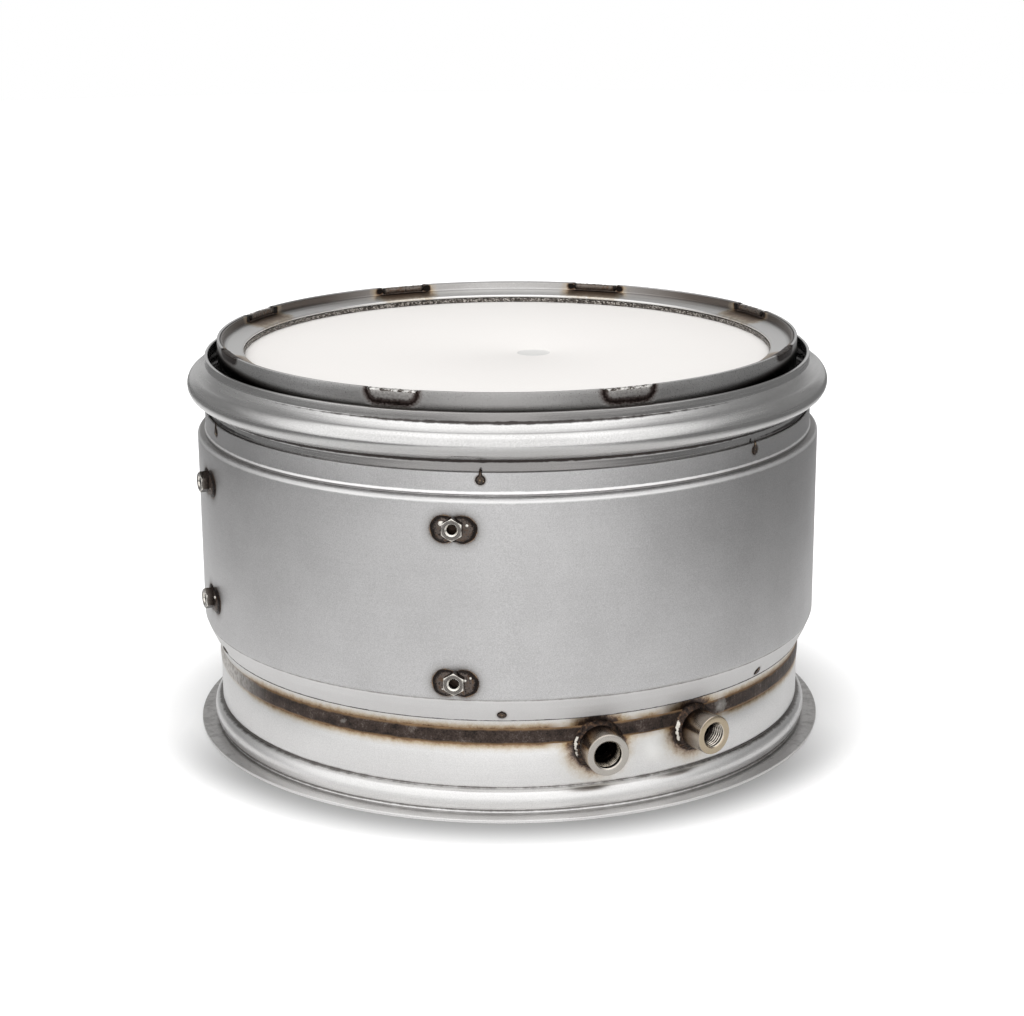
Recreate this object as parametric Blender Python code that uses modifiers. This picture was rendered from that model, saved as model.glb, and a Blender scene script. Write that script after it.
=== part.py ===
"""A diesel particulate filter can for a truck exhaust: a round ceramic wall-flow filter held by a
fibre mat in an inner can, with rolled end collars, a heat shell, sensor bungs and welded nuts.
It stands on its outlet flange, with the flow running down along Z. Units are metres."""

import math

import bmesh
import bpy
from mathutils import Matrix, Vector

# Clearance that stands in for touching faces.
seat_gap = 0.0003
# Facets round every large ring, and round the small turned pieces.
ring_steps = 48
bore_steps = 24

# Filter brick and its fibre mat. The can ends a little past both faces of the brick.
filter_radius = 0.1524
filter_length = 0.1524
filter_set_back = 0.0105
mat_space = 0.0051
dimple_radius = 0.0093
dimple_depth = 0.0007
dimple_place = (0.0145, -0.0105)

# Inner can, which ends above the bungs' bores and leaves an open chamber under the filter.
can_wall = 0.0015
can_above_bungs = 0.0091

# Retaining rings (L section) and the knitted wire rings under them.
leg_wall = 0.0012
leg_set_back = 0.0004
flange_set_back = 0.0059
flange_reach = 0.0124
curl_drop = 0.0007
mesh_cover = 0.0079

# Inlet collar: a lip, a sloped ledge, a rolled bead and a skirt under the heat shell.
collar_wall = 0.0018
lip_gap = 0.0070
lip_set_back = 0.0086
lip_height = 0.0044
ledge_slope = 0.0012
ledge_drop = 0.0022
bead_out = 0.0036
bead_drop = 0.0151
bead_reach = 0.0066
bead_half_height = 0.0069
bead_hem = 0.0012
skirt_step = 0.0005
skirt_length = 0.0223

# Heat shell: a neck round the skirt, a shoulder, a straight body and a cone down to the outlet.
shell_wall = 0.0012
neck_drop = 0.0143
neck_height = 0.0087
roll_out = 0.0009
roll_height = 0.0027
body_out = 0.0044
shoulder_height = 0.0097
crease_roll = 0.0043
cone_height = 0.0128
cone_above_bungs = 0.0154

# Outlet sleeve under the shell, the seam weld below it, and the outlet collar with its foot flange.
outlet_gap = 0.0045
outlet_cover = 0.0131
seam_above_bungs = 0.0065
seam_width = 0.0085
seam_root = 0.0012
seam_crown = 0.0004
seam_edge = 0.0015
foot_bead_out = 0.0004
foot_bead_height = 0.0080
foot_bead_reach = 0.0041
foot_bead_half_height = 0.0056
foot_groove = 0.0006
flange_out = 0.0121
flange_wall = 0.0018

# Rings hidden between the can and the collars, and the blanket under the shell.
spacer_rise = 0.0010
spacer_height = 0.0110
support_rise = 0.0016
support_height = 0.0080
blanket_margin = 0.0020

# Stitch welds that join each retaining ring to the can.
stitch_angles = (22.2, 67.5, 114.8, 159.6, -155.8, -113.8, -67.5, -20.8)
stitch_length = 0.0285
stitch_steps = 3
stitch_depth = 0.0011
stitch_wall = 0.0012
stitch_hang = 0.0048
stitch_edge = 0.0006
melt_margin = 0.0010

# Sensor bungs on the outlet collar.
bung_height = 0.0355
bung_length = 0.0160
bung_chamfer = 0.0005
fillet_leg = 0.0031
wide_bung = {"angle": 16.0, "radius": 0.01075, "bore": 0.0071, "hole": 0.0040, "bore_depth": 0.0112}
slim_bung = {"angle": 35.6, "radius": 0.01025, "bore": 0.0061, "hole": 0.0055, "bore_depth": 0.0135}

# Weld nuts on the heat shell, in pairs: angle, drop below the body's top, rise above its bottom.
nut_pairs = ((-8.9, 0.0083, 0.0059), (-68.0, 0.0119, 0.0168))
nut_flats = 0.0100
nut_height = 0.0053
nut_hole = 0.0025
nut_chamfer = 0.0008
nut_sides = 6
hole_sides = 16
puddle_radius = 0.0074
puddle_offset = 0.0047
puddle_waist = 0.0072
puddle_height = 0.0019

# Tack welds between the shell and the collars.
top_tack_angles = (-127.0, -67.4, -4.5, 49.1, 113.0, 173.0)
bottom_tack_angles = (-129.0, -67.0, -1.2, 51.5, 111.0, 171.0)
tack_radius = 0.0029
tack_height = 0.0007
top_tack_drop = 0.0027
bottom_tack_rise = 0.0041

# Radii that follow from the filter's.
facet_share = math.cos(math.pi / ring_steps)
can_inner = filter_radius + mat_space
can_radius = can_inner + can_wall
leg_radius = can_inner - seat_gap
mesh_inner = filter_radius - mesh_cover
lip_radius = can_radius + lip_gap
skirt_radius = lip_radius - skirt_step
neck_radius = skirt_radius + seat_gap + shell_wall
body_radius = neck_radius + body_out
outlet_radius = can_radius + outlet_gap
collar_inner = outlet_radius - collar_wall
flange_radius = outlet_radius + flange_out
bung_seat = outlet_radius + seam_crown + seat_gap
nut_seat = body_radius + seat_gap

# Heights round the outlet, which follow from the bungs', counted up from the foot flange.
can_bottom = bung_height + can_above_bungs
shell_bottom = bung_height + cone_above_bungs
crease_height = shell_bottom + cone_height
body_bottom = crease_height + crease_roll
seam_height = bung_height + seam_above_bungs
outlet_top = shell_bottom + outlet_cover

# Heights of the filter and of what is above it.
filter_bottom = can_bottom + filter_set_back
filter_top = filter_bottom + filter_length
can_top = filter_top + filter_set_back
lip_top = can_top - lip_set_back
bead_middle = lip_top - bead_drop
hem = bead_middle - bead_half_height
skirt_bottom = bead_middle - skirt_length
neck_top = bead_middle - neck_drop
neck_bottom = neck_top - neck_height
body_top = neck_bottom - shoulder_height

# The shell's cone, as (radius, height) where it bends and where it ends.
cone_bend = (body_radius - 0.0026, 0.5 * (crease_height + shell_bottom) + 0.0012)
cone_foot = (outlet_radius + seat_gap + shell_wall, shell_bottom)

steel = {"colour": (0.60, 0.60, 0.59), "metallic": 1.0, "roughness": 0.38}
weld_steel = {"colour": (0.16, 0.13, 0.12), "metallic": 0.8, "roughness": 0.55}
bung_steel = {"colour": (0.55, 0.51, 0.46), "metallic": 1.0, "roughness": 0.32}
wire_steel = {"colour": (0.28, 0.27, 0.26), "metallic": 0.9, "roughness": 0.50}
ceramic = {"colour": (0.92, 0.91, 0.88), "metallic": 0.0, "roughness": 0.85}
fibre = {"colour": (0.80, 0.79, 0.74), "metallic": 0.0, "roughness": 0.95}


def clear_scene():
    for item in list(bpy.data.objects):
        bpy.data.objects.remove(item, do_unlink=True)


def new_collection(name):
    collection = bpy.data.collections.new(name)
    bpy.context.scene.collection.children.link(collection)
    return collection


def principled(name, look):
    material = bpy.data.materials.new(name)
    material.use_nodes = True
    shader = material.node_tree.nodes["Principled BSDF"]
    shader.inputs["Base Color"].default_value = (*look["colour"], 1.0)
    shader.inputs["Metallic"].default_value = look["metallic"]
    shader.inputs["Roughness"].default_value = look["roughness"]
    material.diffuse_color = (*look["colour"], 1.0)
    return material


def add_object(name, mesh, look, collection):
    """An object for one piece, with a material of its own."""
    piece = bpy.data.objects.new(name, mesh)
    collection.objects.link(piece)
    mesh.materials.append(principled(name + "_finish", look))
    mesh.shade_smooth()
    mesh.set_sharp_from_angle(angle=math.radians(35))
    return piece


def as_cutter(cutter):
    cutter.hide_render = True
    cutter.display_type = "WIRE"


def arc_points(centre, reach, half_height, angles):
    """Points of an upright ellipse arc, at angles in degrees measured from outward."""
    points = []
    for angle in angles:
        turn = math.radians(angle)
        points.append((centre[0] + reach * math.cos(turn), centre[1] + half_height * math.sin(turn)))
    return points


def turned(name, profile, look, collection, steps=ring_steps, closed=True):
    """A turned piece: its profile runs down the outer side and, if closed, back up the inner one."""
    mesh = bpy.data.meshes.new(name)
    links = [(i, i + 1) for i in range(len(profile) - 1)]
    if closed:
        links.append((len(profile) - 1, 0))
    mesh.from_pydata([(radius, 0.0, height) for radius, height in profile], links, [])
    piece = add_object(name, mesh, look, collection)
    screw = piece.modifiers.new("turn", "SCREW")
    screw.axis = "Z"
    screw.angle = math.tau
    screw.steps = steps
    screw.render_steps = steps
    screw.use_merge_vertices = True
    screw.merge_threshold = 0.00005
    screw.use_smooth_shade = True
    return piece


def swept(name, section, middle, length, look, collection):
    """A section carried along a short arc about the Z axis, with both ends closed."""
    outer = max(radius for radius, height in section)
    half_turn = 0.5 * length / outer
    shape = bmesh.new()
    corners = [shape.verts.new((0.0, -radius, height)) for radius, height in section]
    for i, corner in enumerate(corners):
        shape.edges.new((corner, corners[(i + 1) % len(corners)]))
    start = Matrix.Rotation(math.radians(middle) - half_turn, 4, "Z")
    bmesh.ops.transform(shape, matrix=start, verts=corners)
    bmesh.ops.spin(shape, geom=shape.verts[:] + shape.edges[:], cent=(0, 0, 0), axis=(0, 0, 1),
                   angle=2 * half_turn, steps=stitch_steps)
    bmesh.ops.holes_fill(shape, edges=shape.edges[:])
    bmesh.ops.recalc_face_normals(shape, faces=shape.faces[:])
    mesh = bpy.data.meshes.new(name)
    shape.to_mesh(mesh)
    shape.free()
    return add_object(name, mesh, look, collection)


def cylinder(name, radius, depth, sides, collection, look=steel, top_radius=None):
    """A closed cylinder or cone on the local Z axis, its base at the origin."""
    shape = bmesh.new()
    bmesh.ops.create_cone(shape, cap_ends=True, segments=sides, radius1=radius,
                          radius2=radius if top_radius is None else top_radius, depth=depth)
    bmesh.ops.translate(shape, verts=shape.verts[:], vec=(0, 0, 0.5 * depth))
    mesh = bpy.data.meshes.new(name)
    shape.to_mesh(mesh)
    shape.free()
    return add_object(name, mesh, look, collection)


def dome(name, half_width, half_length, height, look, collection, sides=8, rings=4):
    """A low weld puddle: the upper half of a flattened sphere on a flat base."""
    shape = bmesh.new()
    bmesh.ops.create_uvsphere(shape, u_segments=sides, v_segments=rings, radius=1.0)
    for corner in shape.verts:
        corner.co.z = max(corner.co.z, 0.0)
    bmesh.ops.scale(shape, vec=(half_width, half_length, height), verts=shape.verts[:])
    mesh = bpy.data.meshes.new(name)
    shape.to_mesh(mesh)
    shape.free()
    return add_object(name, mesh, look, collection)


def place_outward(piece, angle, radius, height, lean=0.0):
    """Stands a piece on a round wall: local Z points outward and local Y up, leaning by an angle."""
    turn = math.radians(angle)
    stand = Matrix.Rotation(turn, 4, "Z") @ Matrix.Rotation(math.radians(90 + lean), 4, "X")
    spot = Vector((radius * math.sin(turn), -radius * math.cos(turn), height))
    piece.matrix_world = Matrix.Translation(spot) @ stand


def boolean(piece, tool, operation):
    cut = piece.modifiers.new(operation.lower(), "BOOLEAN")
    cut.operation = operation
    cut.solver = "EXACT"
    if isinstance(tool, bpy.types.Collection):
        cut.operand_type = "COLLECTION"
        cut.collection = tool
    else:
        cut.object = tool


def make_filter(parts, cutters):
    brick = [(0.0, filter_top), (filter_radius, filter_top), (filter_radius, filter_bottom),
             (0.0, filter_bottom)]
    piece = turned("filter_substrate", brick, ceramic, parts, closed=False)
    dimple = cylinder("dimple_cutter", dimple_radius * 0.86, 2 * dimple_depth, bore_steps, cutters,
                      top_radius=dimple_radius)
    dimple.location = (*dimple_place, filter_top - dimple_depth)
    as_cutter(dimple)
    boolean(piece, dimple, "DIFFERENCE")

    mat_outer = can_inner - seat_gap
    mat_inner = filter_radius + seat_gap
    mat = [(mat_outer, filter_top), (mat_outer, filter_bottom), (mat_inner, filter_bottom),
           (mat_inner, filter_top)]
    turned("support_mat", mat, fibre, parts)


def make_can(parts, notches):
    sheet = [(can_radius, can_top), (can_radius, can_bottom), (can_inner, can_bottom),
             (can_inner, can_top)]
    piece = turned("inner_can", sheet, steel, parts)
    boolean(piece, notches, "DIFFERENCE")


def end_profile(points, flip):
    """Profile points given as (radius, depth below the can's rim), at the inlet or turned over."""
    if flip:
        return [(radius, can_bottom + depth) for radius, depth in reversed(points)]
    return [(radius, can_top - depth) for radius, depth in points]


def make_end_rings(end, flip, parts, notches):
    flange_top = flange_set_back
    flange_low = flange_set_back + leg_wall
    inner = leg_radius - leg_wall
    lip = leg_radius - flange_reach
    ring = [(leg_radius, leg_set_back), (leg_radius, flange_low), (lip + leg_wall, flange_low),
            (lip, flange_low + curl_drop), (lip + leg_wall, flange_top), (inner, flange_top),
            (inner, leg_set_back)]
    piece = turned(end + "_retaining_ring", end_profile(ring, flip), steel, parts)
    boolean(piece, notches, "DIFFERENCE")

    mesh_top = flange_low + curl_drop + seat_gap
    mesh_low = filter_set_back - seat_gap
    wire = [(leg_radius, mesh_top), (leg_radius, mesh_low), (mesh_inner, mesh_low),
            (mesh_inner, mesh_top)]
    turned(end + "_mesh_ring", end_profile(wire, flip), wire_steel, parts)


def make_stitches(end, flip, parts, notches):
    """Each stitch caps the melted edges of the can and the ring, and runs down inside the ring."""
    inner = (leg_radius - leg_wall) * facet_share - seat_gap
    pad = inner - stitch_wall
    section = [(can_radius, 0.0), (can_radius, stitch_depth), (inner, stitch_depth),
               (inner, stitch_hang), (pad + 0.5 * stitch_edge, stitch_hang), (pad, stitch_edge),
               (pad + stitch_edge, 0.0)]
    melt = [(can_radius + melt_margin, -melt_margin), (can_radius + melt_margin, stitch_depth + seat_gap),
            (pad, stitch_depth + seat_gap), (pad, -melt_margin)]
    for number, angle in enumerate(stitch_angles, start=1):
        name = f"{end}_stitch_weld_{number}"
        swept(name, end_profile(section, flip), angle, stitch_length, weld_steel, parts)
        notch = swept(f"{end}_notch_{number}", end_profile(melt, flip), angle,
                      stitch_length + 2 * seat_gap, steel, notches)
        as_cutter(notch)


def make_inlet_collar(parts):
    centre = (lip_radius + bead_out, bead_middle)
    foot = lip_top - lip_height
    outer = [(lip_radius, lip_top), (lip_radius, foot), (lip_radius + ledge_slope, foot - ledge_slope),
             (centre[0], foot - ledge_drop)]
    outer += arc_points(centre, bead_reach, bead_half_height, (72, 44, 15, -15, -44, -75))
    outer += [(centre[0] - 0.5 * bead_hem, hem + bead_hem), (lip_radius + bead_hem, hem + bead_hem),
              (skirt_radius, hem - 2 * bead_hem), (skirt_radius, skirt_bottom)]
    inner = [(skirt_radius - collar_wall, skirt_bottom),
             (skirt_radius - collar_wall, hem + bead_hem)]
    inner += arc_points(centre, bead_reach - collar_wall, bead_half_height - collar_wall, (-40, 0, 40))
    inner += [(centre[0], foot - ledge_drop - 1.4 * collar_wall),
              (lip_radius - collar_wall, foot - ledge_slope), (lip_radius - collar_wall, lip_top)]
    turned("inlet_collar", outer + inner, steel, parts)


def make_shell(parts):
    wall = shell_wall
    roll_foot = neck_bottom - roll_height
    outer = [(neck_radius, neck_top), (neck_radius, neck_bottom),
             (neck_radius + roll_out, neck_bottom - 0.45 * roll_height),
             (neck_radius + 0.3 * roll_out, roll_foot),
             (body_radius - 1.5 * wall, roll_foot - 0.25 * (roll_foot - body_top)),
             (body_radius - 0.3 * wall, roll_foot - 0.6 * (roll_foot - body_top)),
             (body_radius, body_top), (body_radius, body_bottom),
             (body_radius - 0.4 * wall, crease_height), cone_bend, cone_foot]
    inner = [(cone_foot[0] - wall, shell_bottom), (cone_bend[0] - wall, cone_bend[1] + 0.5 * wall),
             (body_radius - 1.4 * wall, crease_height + 0.3 * wall),
             (body_radius - wall, body_bottom), (body_radius - wall, body_top),
             (body_radius - 2.5 * wall, roll_foot - 0.35 * (roll_foot - body_top)),
             (neck_radius - wall, roll_foot - 0.6 * wall), (neck_radius - wall, neck_top)]
    turned("outer_shell", outer + inner, steel, parts)

    blanket_outer = body_radius - shell_wall - seat_gap
    blanket_top = body_top - blanket_margin
    blanket_bottom = body_bottom + blanket_margin
    blanket = [(blanket_outer, blanket_top), (blanket_outer, blanket_bottom),
               (can_radius + seat_gap, blanket_bottom), (can_radius + seat_gap, blanket_top)]
    turned("insulation_blanket", blanket, fibre, parts)


def make_outlet_collar(parts, cutters):
    """Two sheets with bevelled edges, and the seam weld that fills the groove between them."""
    seam_top = seam_height + 0.5 * seam_width
    seam_low = seam_height - 0.5 * seam_width
    root_top = seam_height + 0.5 * seam_root
    root_low = seam_height - 0.5 * seam_root
    bevel_gap = 2 * seat_gap
    crown = outlet_radius + seam_crown
    sleeve = [(outlet_radius, outlet_top), (outlet_radius, seam_top + bevel_gap),
              (collar_inner, root_top + bevel_gap), (collar_inner, outlet_top)]
    turned("outlet_sleeve", sleeve, steel, parts)
    seam = [(outlet_radius, seam_top), (crown, seam_top - seam_edge), (crown, seam_low + seam_edge),
            (outlet_radius, seam_low), (collar_inner, root_low), (collar_inner, root_top)]
    weld = turned("outlet_seam_weld", seam, weld_steel, parts)

    bead = (outlet_radius + foot_bead_out, foot_bead_height)
    bead_top = foot_bead_height + foot_bead_half_height
    outer = [(outlet_radius, seam_low - bevel_gap), (outlet_radius, bead_top + 3 * foot_groove),
             (outlet_radius - foot_groove, bead_top + foot_groove)]
    outer += arc_points(bead, foot_bead_reach, foot_bead_half_height, (68, 34, 0, -34, -62))
    outer += [(bead[0] + 4 * foot_groove, flange_wall), (flange_radius, flange_wall),
              (flange_radius, 0.0)]
    hollow = arc_points(bead, foot_bead_reach - collar_wall, foot_bead_half_height - collar_wall,
                        (-42, 42))
    inner = [(collar_inner, 0.0), (collar_inner, 1.5 * flange_wall)] + hollow
    inner += [(collar_inner, bead_top + 2 * foot_groove), (collar_inner, root_low - bevel_gap)]
    collar = turned("outlet_collar", outer + inner, steel, parts)
    for name, bung in (("wide", wide_bung), ("slim", slim_bung)):
        hole = cylinder(name + "_port_cutter", bung["hole"], 4 * collar_wall, bore_steps, cutters)
        place_outward(hole, bung["angle"], collar_inner - collar_wall, bung_height)
        as_cutter(hole)
        boolean(collar, hole, "DIFFERENCE")
        boolean(weld, hole, "DIFFERENCE")


def make_hidden_rings(parts):
    spacer_outer = skirt_radius - collar_wall - seat_gap
    spacer_bottom = skirt_bottom + spacer_rise
    spacer_top = spacer_bottom + spacer_height
    spacer = [(spacer_outer, spacer_top), (spacer_outer, spacer_bottom),
              (can_radius + seat_gap, spacer_bottom), (can_radius + seat_gap, spacer_top)]
    turned("inlet_spacer_ring", spacer, wire_steel, parts)

    support_bottom = can_bottom + support_rise
    support_top = support_bottom + support_height
    support_outer = collar_inner - seat_gap
    support = [(support_outer, support_top), (support_outer, support_bottom),
               (can_radius + seat_gap, support_bottom), (can_radius + seat_gap, support_top)]
    turned("outlet_support_ring", support, steel, parts)


def make_bung(name, bung, parts):
    bore_floor = bung_length - bung["bore_depth"]
    mouth = bung["bore"] + bung_chamfer
    body = [(bung["radius"] - bung_chamfer, bung_length),
            (bung["radius"], bung_length - bung_chamfer), (bung["radius"], 0.0),
            (bung["hole"], 0.0), (bung["hole"], bore_floor), (bung["bore"], bore_floor),
            (bung["bore"], bung_length - bung_chamfer), (mouth, bung_length)]
    piece = turned(name + "_sensor_bung", body, bung_steel, parts, steps=bore_steps)
    place_outward(piece, bung["angle"], bung_seat, bung_height)

    inside = bung["radius"] + seat_gap
    fillet = [(inside, fillet_leg), (inside + 0.4 * fillet_leg, 0.75 * fillet_leg),
              (inside + fillet_leg, 0.0), (inside, 0.0)]
    weld = turned(name + "_bung_weld", fillet, weld_steel, parts, steps=bore_steps)
    place_outward(weld, bung["angle"], bung_seat, bung_height)


def make_nut(number, angle, height, parts, cutters):
    """A hexagonal weld nut, point up, in a puddle of weld on each side."""
    corner_radius = nut_flats / math.sqrt(3)
    nut = cylinder(f"weld_nut_{number}", corner_radius, nut_height, nut_sides, parts, bung_steel)
    hole = cylinder(f"nut_hole_{number}", nut_hole, 3 * nut_height, hole_sides, cutters)
    mouth = cylinder(f"nut_mouth_{number}", 0.9 * nut_hole, 2 * nut_chamfer, hole_sides, cutters,
                     top_radius=nut_hole + 2 * nut_chamfer)
    left = dome(f"nut_weld_{number}", puddle_radius, puddle_radius, puddle_height, weld_steel, parts,
                sides=14, rings=6)
    right = dome(f"nut_puddle_{number}", puddle_radius, puddle_radius, puddle_height, weld_steel,
                 cutters, sides=14, rings=6)
    waist = dome(f"nut_waist_{number}", puddle_radius, puddle_waist, puddle_height, weld_steel,
                 cutters, sides=14, rings=6)
    socket = cylinder(f"nut_socket_{number}", (nut_flats + 2 * seat_gap) / math.sqrt(3),
                      3 * puddle_height, nut_sides, cutters)
    turn = math.radians(angle)
    along = Vector((math.cos(turn), math.sin(turn), 0.0))
    place_outward(nut, angle, nut_seat, height)
    place_outward(hole, angle, nut_seat - nut_height, height)
    place_outward(mouth, angle, nut_seat + nut_height - nut_chamfer, height)
    place_outward(left, angle, nut_seat, height)
    place_outward(right, angle, nut_seat, height)
    place_outward(waist, angle, nut_seat, height)
    place_outward(socket, angle, nut_seat - puddle_height, height)
    left.location = left.location - puddle_offset * along
    right.location = right.location + puddle_offset * along
    for tool in (hole, mouth, right, waist, socket):
        as_cutter(tool)
    boolean(nut, hole, "DIFFERENCE")
    boolean(nut, mouth, "DIFFERENCE")
    boolean(left, right, "UNION")
    boolean(left, waist, "UNION")
    boolean(left, socket, "DIFFERENCE")


def make_tacks(parts):
    for number, angle in enumerate(top_tack_angles, start=1):
        tack = dome(f"top_tack_weld_{number}", tack_radius, tack_radius, tack_height, weld_steel, parts)
        place_outward(tack, angle, neck_radius + seat_gap, neck_top - top_tack_drop)
    widening = cone_bend[0] - cone_foot[0]
    rise = cone_bend[1] - cone_foot[1]
    lean = math.atan2(widening, rise)
    radius = cone_foot[0] + widening * bottom_tack_rise / rise + seat_gap / math.cos(lean)
    for number, angle in enumerate(bottom_tack_angles, start=1):
        tack = dome(f"bottom_tack_weld_{number}", tack_radius, tack_radius, tack_height, weld_steel,
                    parts)
        place_outward(tack, angle, radius, shell_bottom + bottom_tack_rise, lean=math.degrees(lean))


def main():
    clear_scene()
    parts = new_collection("diesel_particulate_filter")
    cutters = new_collection("cutters")
    inlet_notches = new_collection("inlet_notches")
    outlet_notches = new_collection("outlet_notches")
    for helper in (cutters, inlet_notches, outlet_notches):
        helper.hide_render = True
    make_filter(parts, cutters)
    make_stitches("inlet", False, parts, inlet_notches)
    make_stitches("outlet", True, parts, outlet_notches)
    make_can(parts, inlet_notches)
    boolean(bpy.data.objects["inner_can"], outlet_notches, "DIFFERENCE")
    make_end_rings("inlet", False, parts, inlet_notches)
    make_end_rings("outlet", True, parts, outlet_notches)
    make_inlet_collar(parts)
    make_shell(parts)
    make_outlet_collar(parts, cutters)
    make_hidden_rings(parts)
    make_bung("wide", wide_bung, parts)
    make_bung("slim", slim_bung, parts)
    for pair, (angle, drop, rise) in enumerate(nut_pairs):
        make_nut(2 * pair + 1, angle, body_top - drop, parts, cutters)
        make_nut(2 * pair + 2, angle, body_bottom + rise, parts, cutters)
    make_tacks(parts)


main()
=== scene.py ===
import math

import bmesh
import bpy
from mathutils import Matrix, Vector


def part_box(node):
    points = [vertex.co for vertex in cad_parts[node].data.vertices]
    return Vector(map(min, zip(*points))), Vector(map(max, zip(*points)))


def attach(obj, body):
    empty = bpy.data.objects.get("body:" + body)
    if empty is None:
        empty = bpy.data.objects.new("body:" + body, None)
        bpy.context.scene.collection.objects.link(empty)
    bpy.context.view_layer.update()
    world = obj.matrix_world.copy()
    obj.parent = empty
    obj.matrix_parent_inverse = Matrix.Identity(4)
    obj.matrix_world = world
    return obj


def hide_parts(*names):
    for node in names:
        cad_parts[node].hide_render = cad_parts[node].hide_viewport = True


# Diesel particulate filter can, dressed. Units are metres, the front is -Y, the flow runs down -Z.

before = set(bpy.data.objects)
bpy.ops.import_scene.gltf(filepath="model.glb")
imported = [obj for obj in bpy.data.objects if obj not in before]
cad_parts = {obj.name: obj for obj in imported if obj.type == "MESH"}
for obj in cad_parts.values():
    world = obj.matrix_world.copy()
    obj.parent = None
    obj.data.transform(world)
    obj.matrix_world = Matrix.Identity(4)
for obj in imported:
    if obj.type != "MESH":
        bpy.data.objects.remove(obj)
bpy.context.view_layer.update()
mm = 0.001


def nodeCentre(name):
    low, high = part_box(name)
    return 0.5 * (low + high)


def edges(name):
    # A node's radius, top and bottom.
    low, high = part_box(name)
    return high.x, high.z, low.z


# Places that several pieces share, read from the frame.
canRadius, rimTop, canBottom = edges("inner_can")
beadRadius, lipTop, skirtBottom = edges("inlet_collar")
bodyRadius, neckTop, shellBottom = edges("outer_shell")
sleeveRadius, sleeveTop, _ = edges("outlet_sleeve")
flangeRadius = edges("outlet_collar")[0]
brickRadius, brickTop, brickBottom = edges("filter_substrate")
bungHeight = nodeCentre("wide_sensor_bung").z
seamHeight = nodeCentre("outlet_seam_weld").z

# Walls and gaps between the rings, as the CAD has them.
gaps = {"canWall": 1.5 * mm, "leg": 0.3 * mm, "lip": 7.0 * mm, "skirt": -0.5 * mm, "neck": 1.5 * mm, "cone": 1.5 * mm,
        "coneBend": (-2.6 * mm, 7.6 * mm)}
canInner = canRadius - gaps["canWall"]
legRadius = canInner - gaps["leg"]
lipRadius = canRadius + gaps["lip"]
skirtRadius = lipRadius + gaps["skirt"]
neckRadius = skirtRadius + gaps["neck"]
coneFoot = sleeveRadius + gaps["cone"]
coneBend = (bodyRadius + gaps["coneBend"][0], shellBottom + gaps["coneBend"][1])

# Angles from the front, positive towards +X, and the size of the bright spot at each end of the seam.
stitchAngles = (22.2, 67.5, 114.8, 159.6, -155.8, -113.8, -67.5, -20.8)
topTackAngles = (-127.0, -67.4, -4.5, 49.1, 113.0, 173.0)
bottomTackAngles = (-129.0, -67.0, -1.2, 51.5, 111.0, 171.0)
nutAngles = (-8.9, -8.9, -68.0, -68.0)
nutHeights = [nodeCentre(f"weld_nut_{n}").z for n in range(1, 5)]
bungAngles = {"wide": 16.0, "slim": 35.6}
seamEnds = {-31.4: 1.0 * mm, 42.3: 4.0 * mm}


def around(angle, radius, height):
    turn = math.radians(angle)
    return Vector((radius * math.sin(turn), -radius * math.cos(turn), height))


def linear(hexCode, alpha=1.0):
    channels = [int(hexCode[i:i + 2], 16) / 255 for i in (1, 3, 5)]
    return tuple(c / 12.92 if c <= 0.04045 else ((c + 0.055) / 1.055) ** 2.4 for c in channels) + (alpha,)


def addNode(tree, kind, feeds=(), stops=(), **settings):
    node = tree.nodes.new(kind)
    for name, value in settings.items():
        setattr(node, name, value)
    for key, value in (feeds.items() if isinstance(feeds, dict) else enumerate(feeds)):
        if isinstance(value, bpy.types.Node):
            value = value.outputs[0]
        if isinstance(value, str) and value.startswith("#"):
            value = linear(value)
        if isinstance(value, bpy.types.NodeSocket):
            tree.links.new(value, node.inputs[key])
        else:
            node.inputs[key].default_value = value
    if stops:
        ramp = node.color_ramp
        while len(ramp.elements) > 1:
            ramp.elements.remove(ramp.elements[-1])
        ramp.elements[0].position = stops[0][0]
        for i, (position, colour) in enumerate(stops):
            element = ramp.elements.new(position) if i else ramp.elements[0]
            element.color = linear(colour) if isinstance(colour, str) else colour
    return node


puddleLook = {
    "lobe": 7.1 * mm, "offset": 4.7 * mm, "waist": 6.5 * mm, "height": 1.9 * mm, "sag": 1.0 * mm, "rings": 16,
    "steps": 120, "lump": 3.0 * mm, "lumpDepth": 0.9 * mm,
    # Bare drops of metal on each puddle, as (along, up, radius) in mm.
    "drops": (((-5.6, 3.1, 1.5), (6.9, 2.4, 0.8)), ((5.0, 2.0, 1.0), (-6.0, -2.8, 0.7), (7.8, 3.2, 0.6)),
              ((-6.4, 2.2, 0.9), (6.2, -1.5, 0.7)), ((6.0, 2.8, 1.0), (-5.2, 3.4, 0.6))),
}

# Oxide tones, and one dark tone for painted shade in folds.
oxide = {
    "foldShade": "#2B2523", "black": "#1F1B19", "core": "#433835", "brown": "#5C4636", "tan": "#8A6E50",
    "straw": "#B39F80", "pale": "#C9C0B2", "bleach": "#DCDAD6", "grey": "#7F7B77",
}


# Ring space: where a point lies round the can, for every finish that follows the turning.

def flatLength(tree, x, y):
    # The length of a flat vector, and the vector.
    flat = addNode(tree, "ShaderNodeCombineXYZ", [x, y, 0.0])
    return addNode(tree, "ShaderNodeVectorMath", [flat], operation="LENGTH").outputs["Value"], flat


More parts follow.
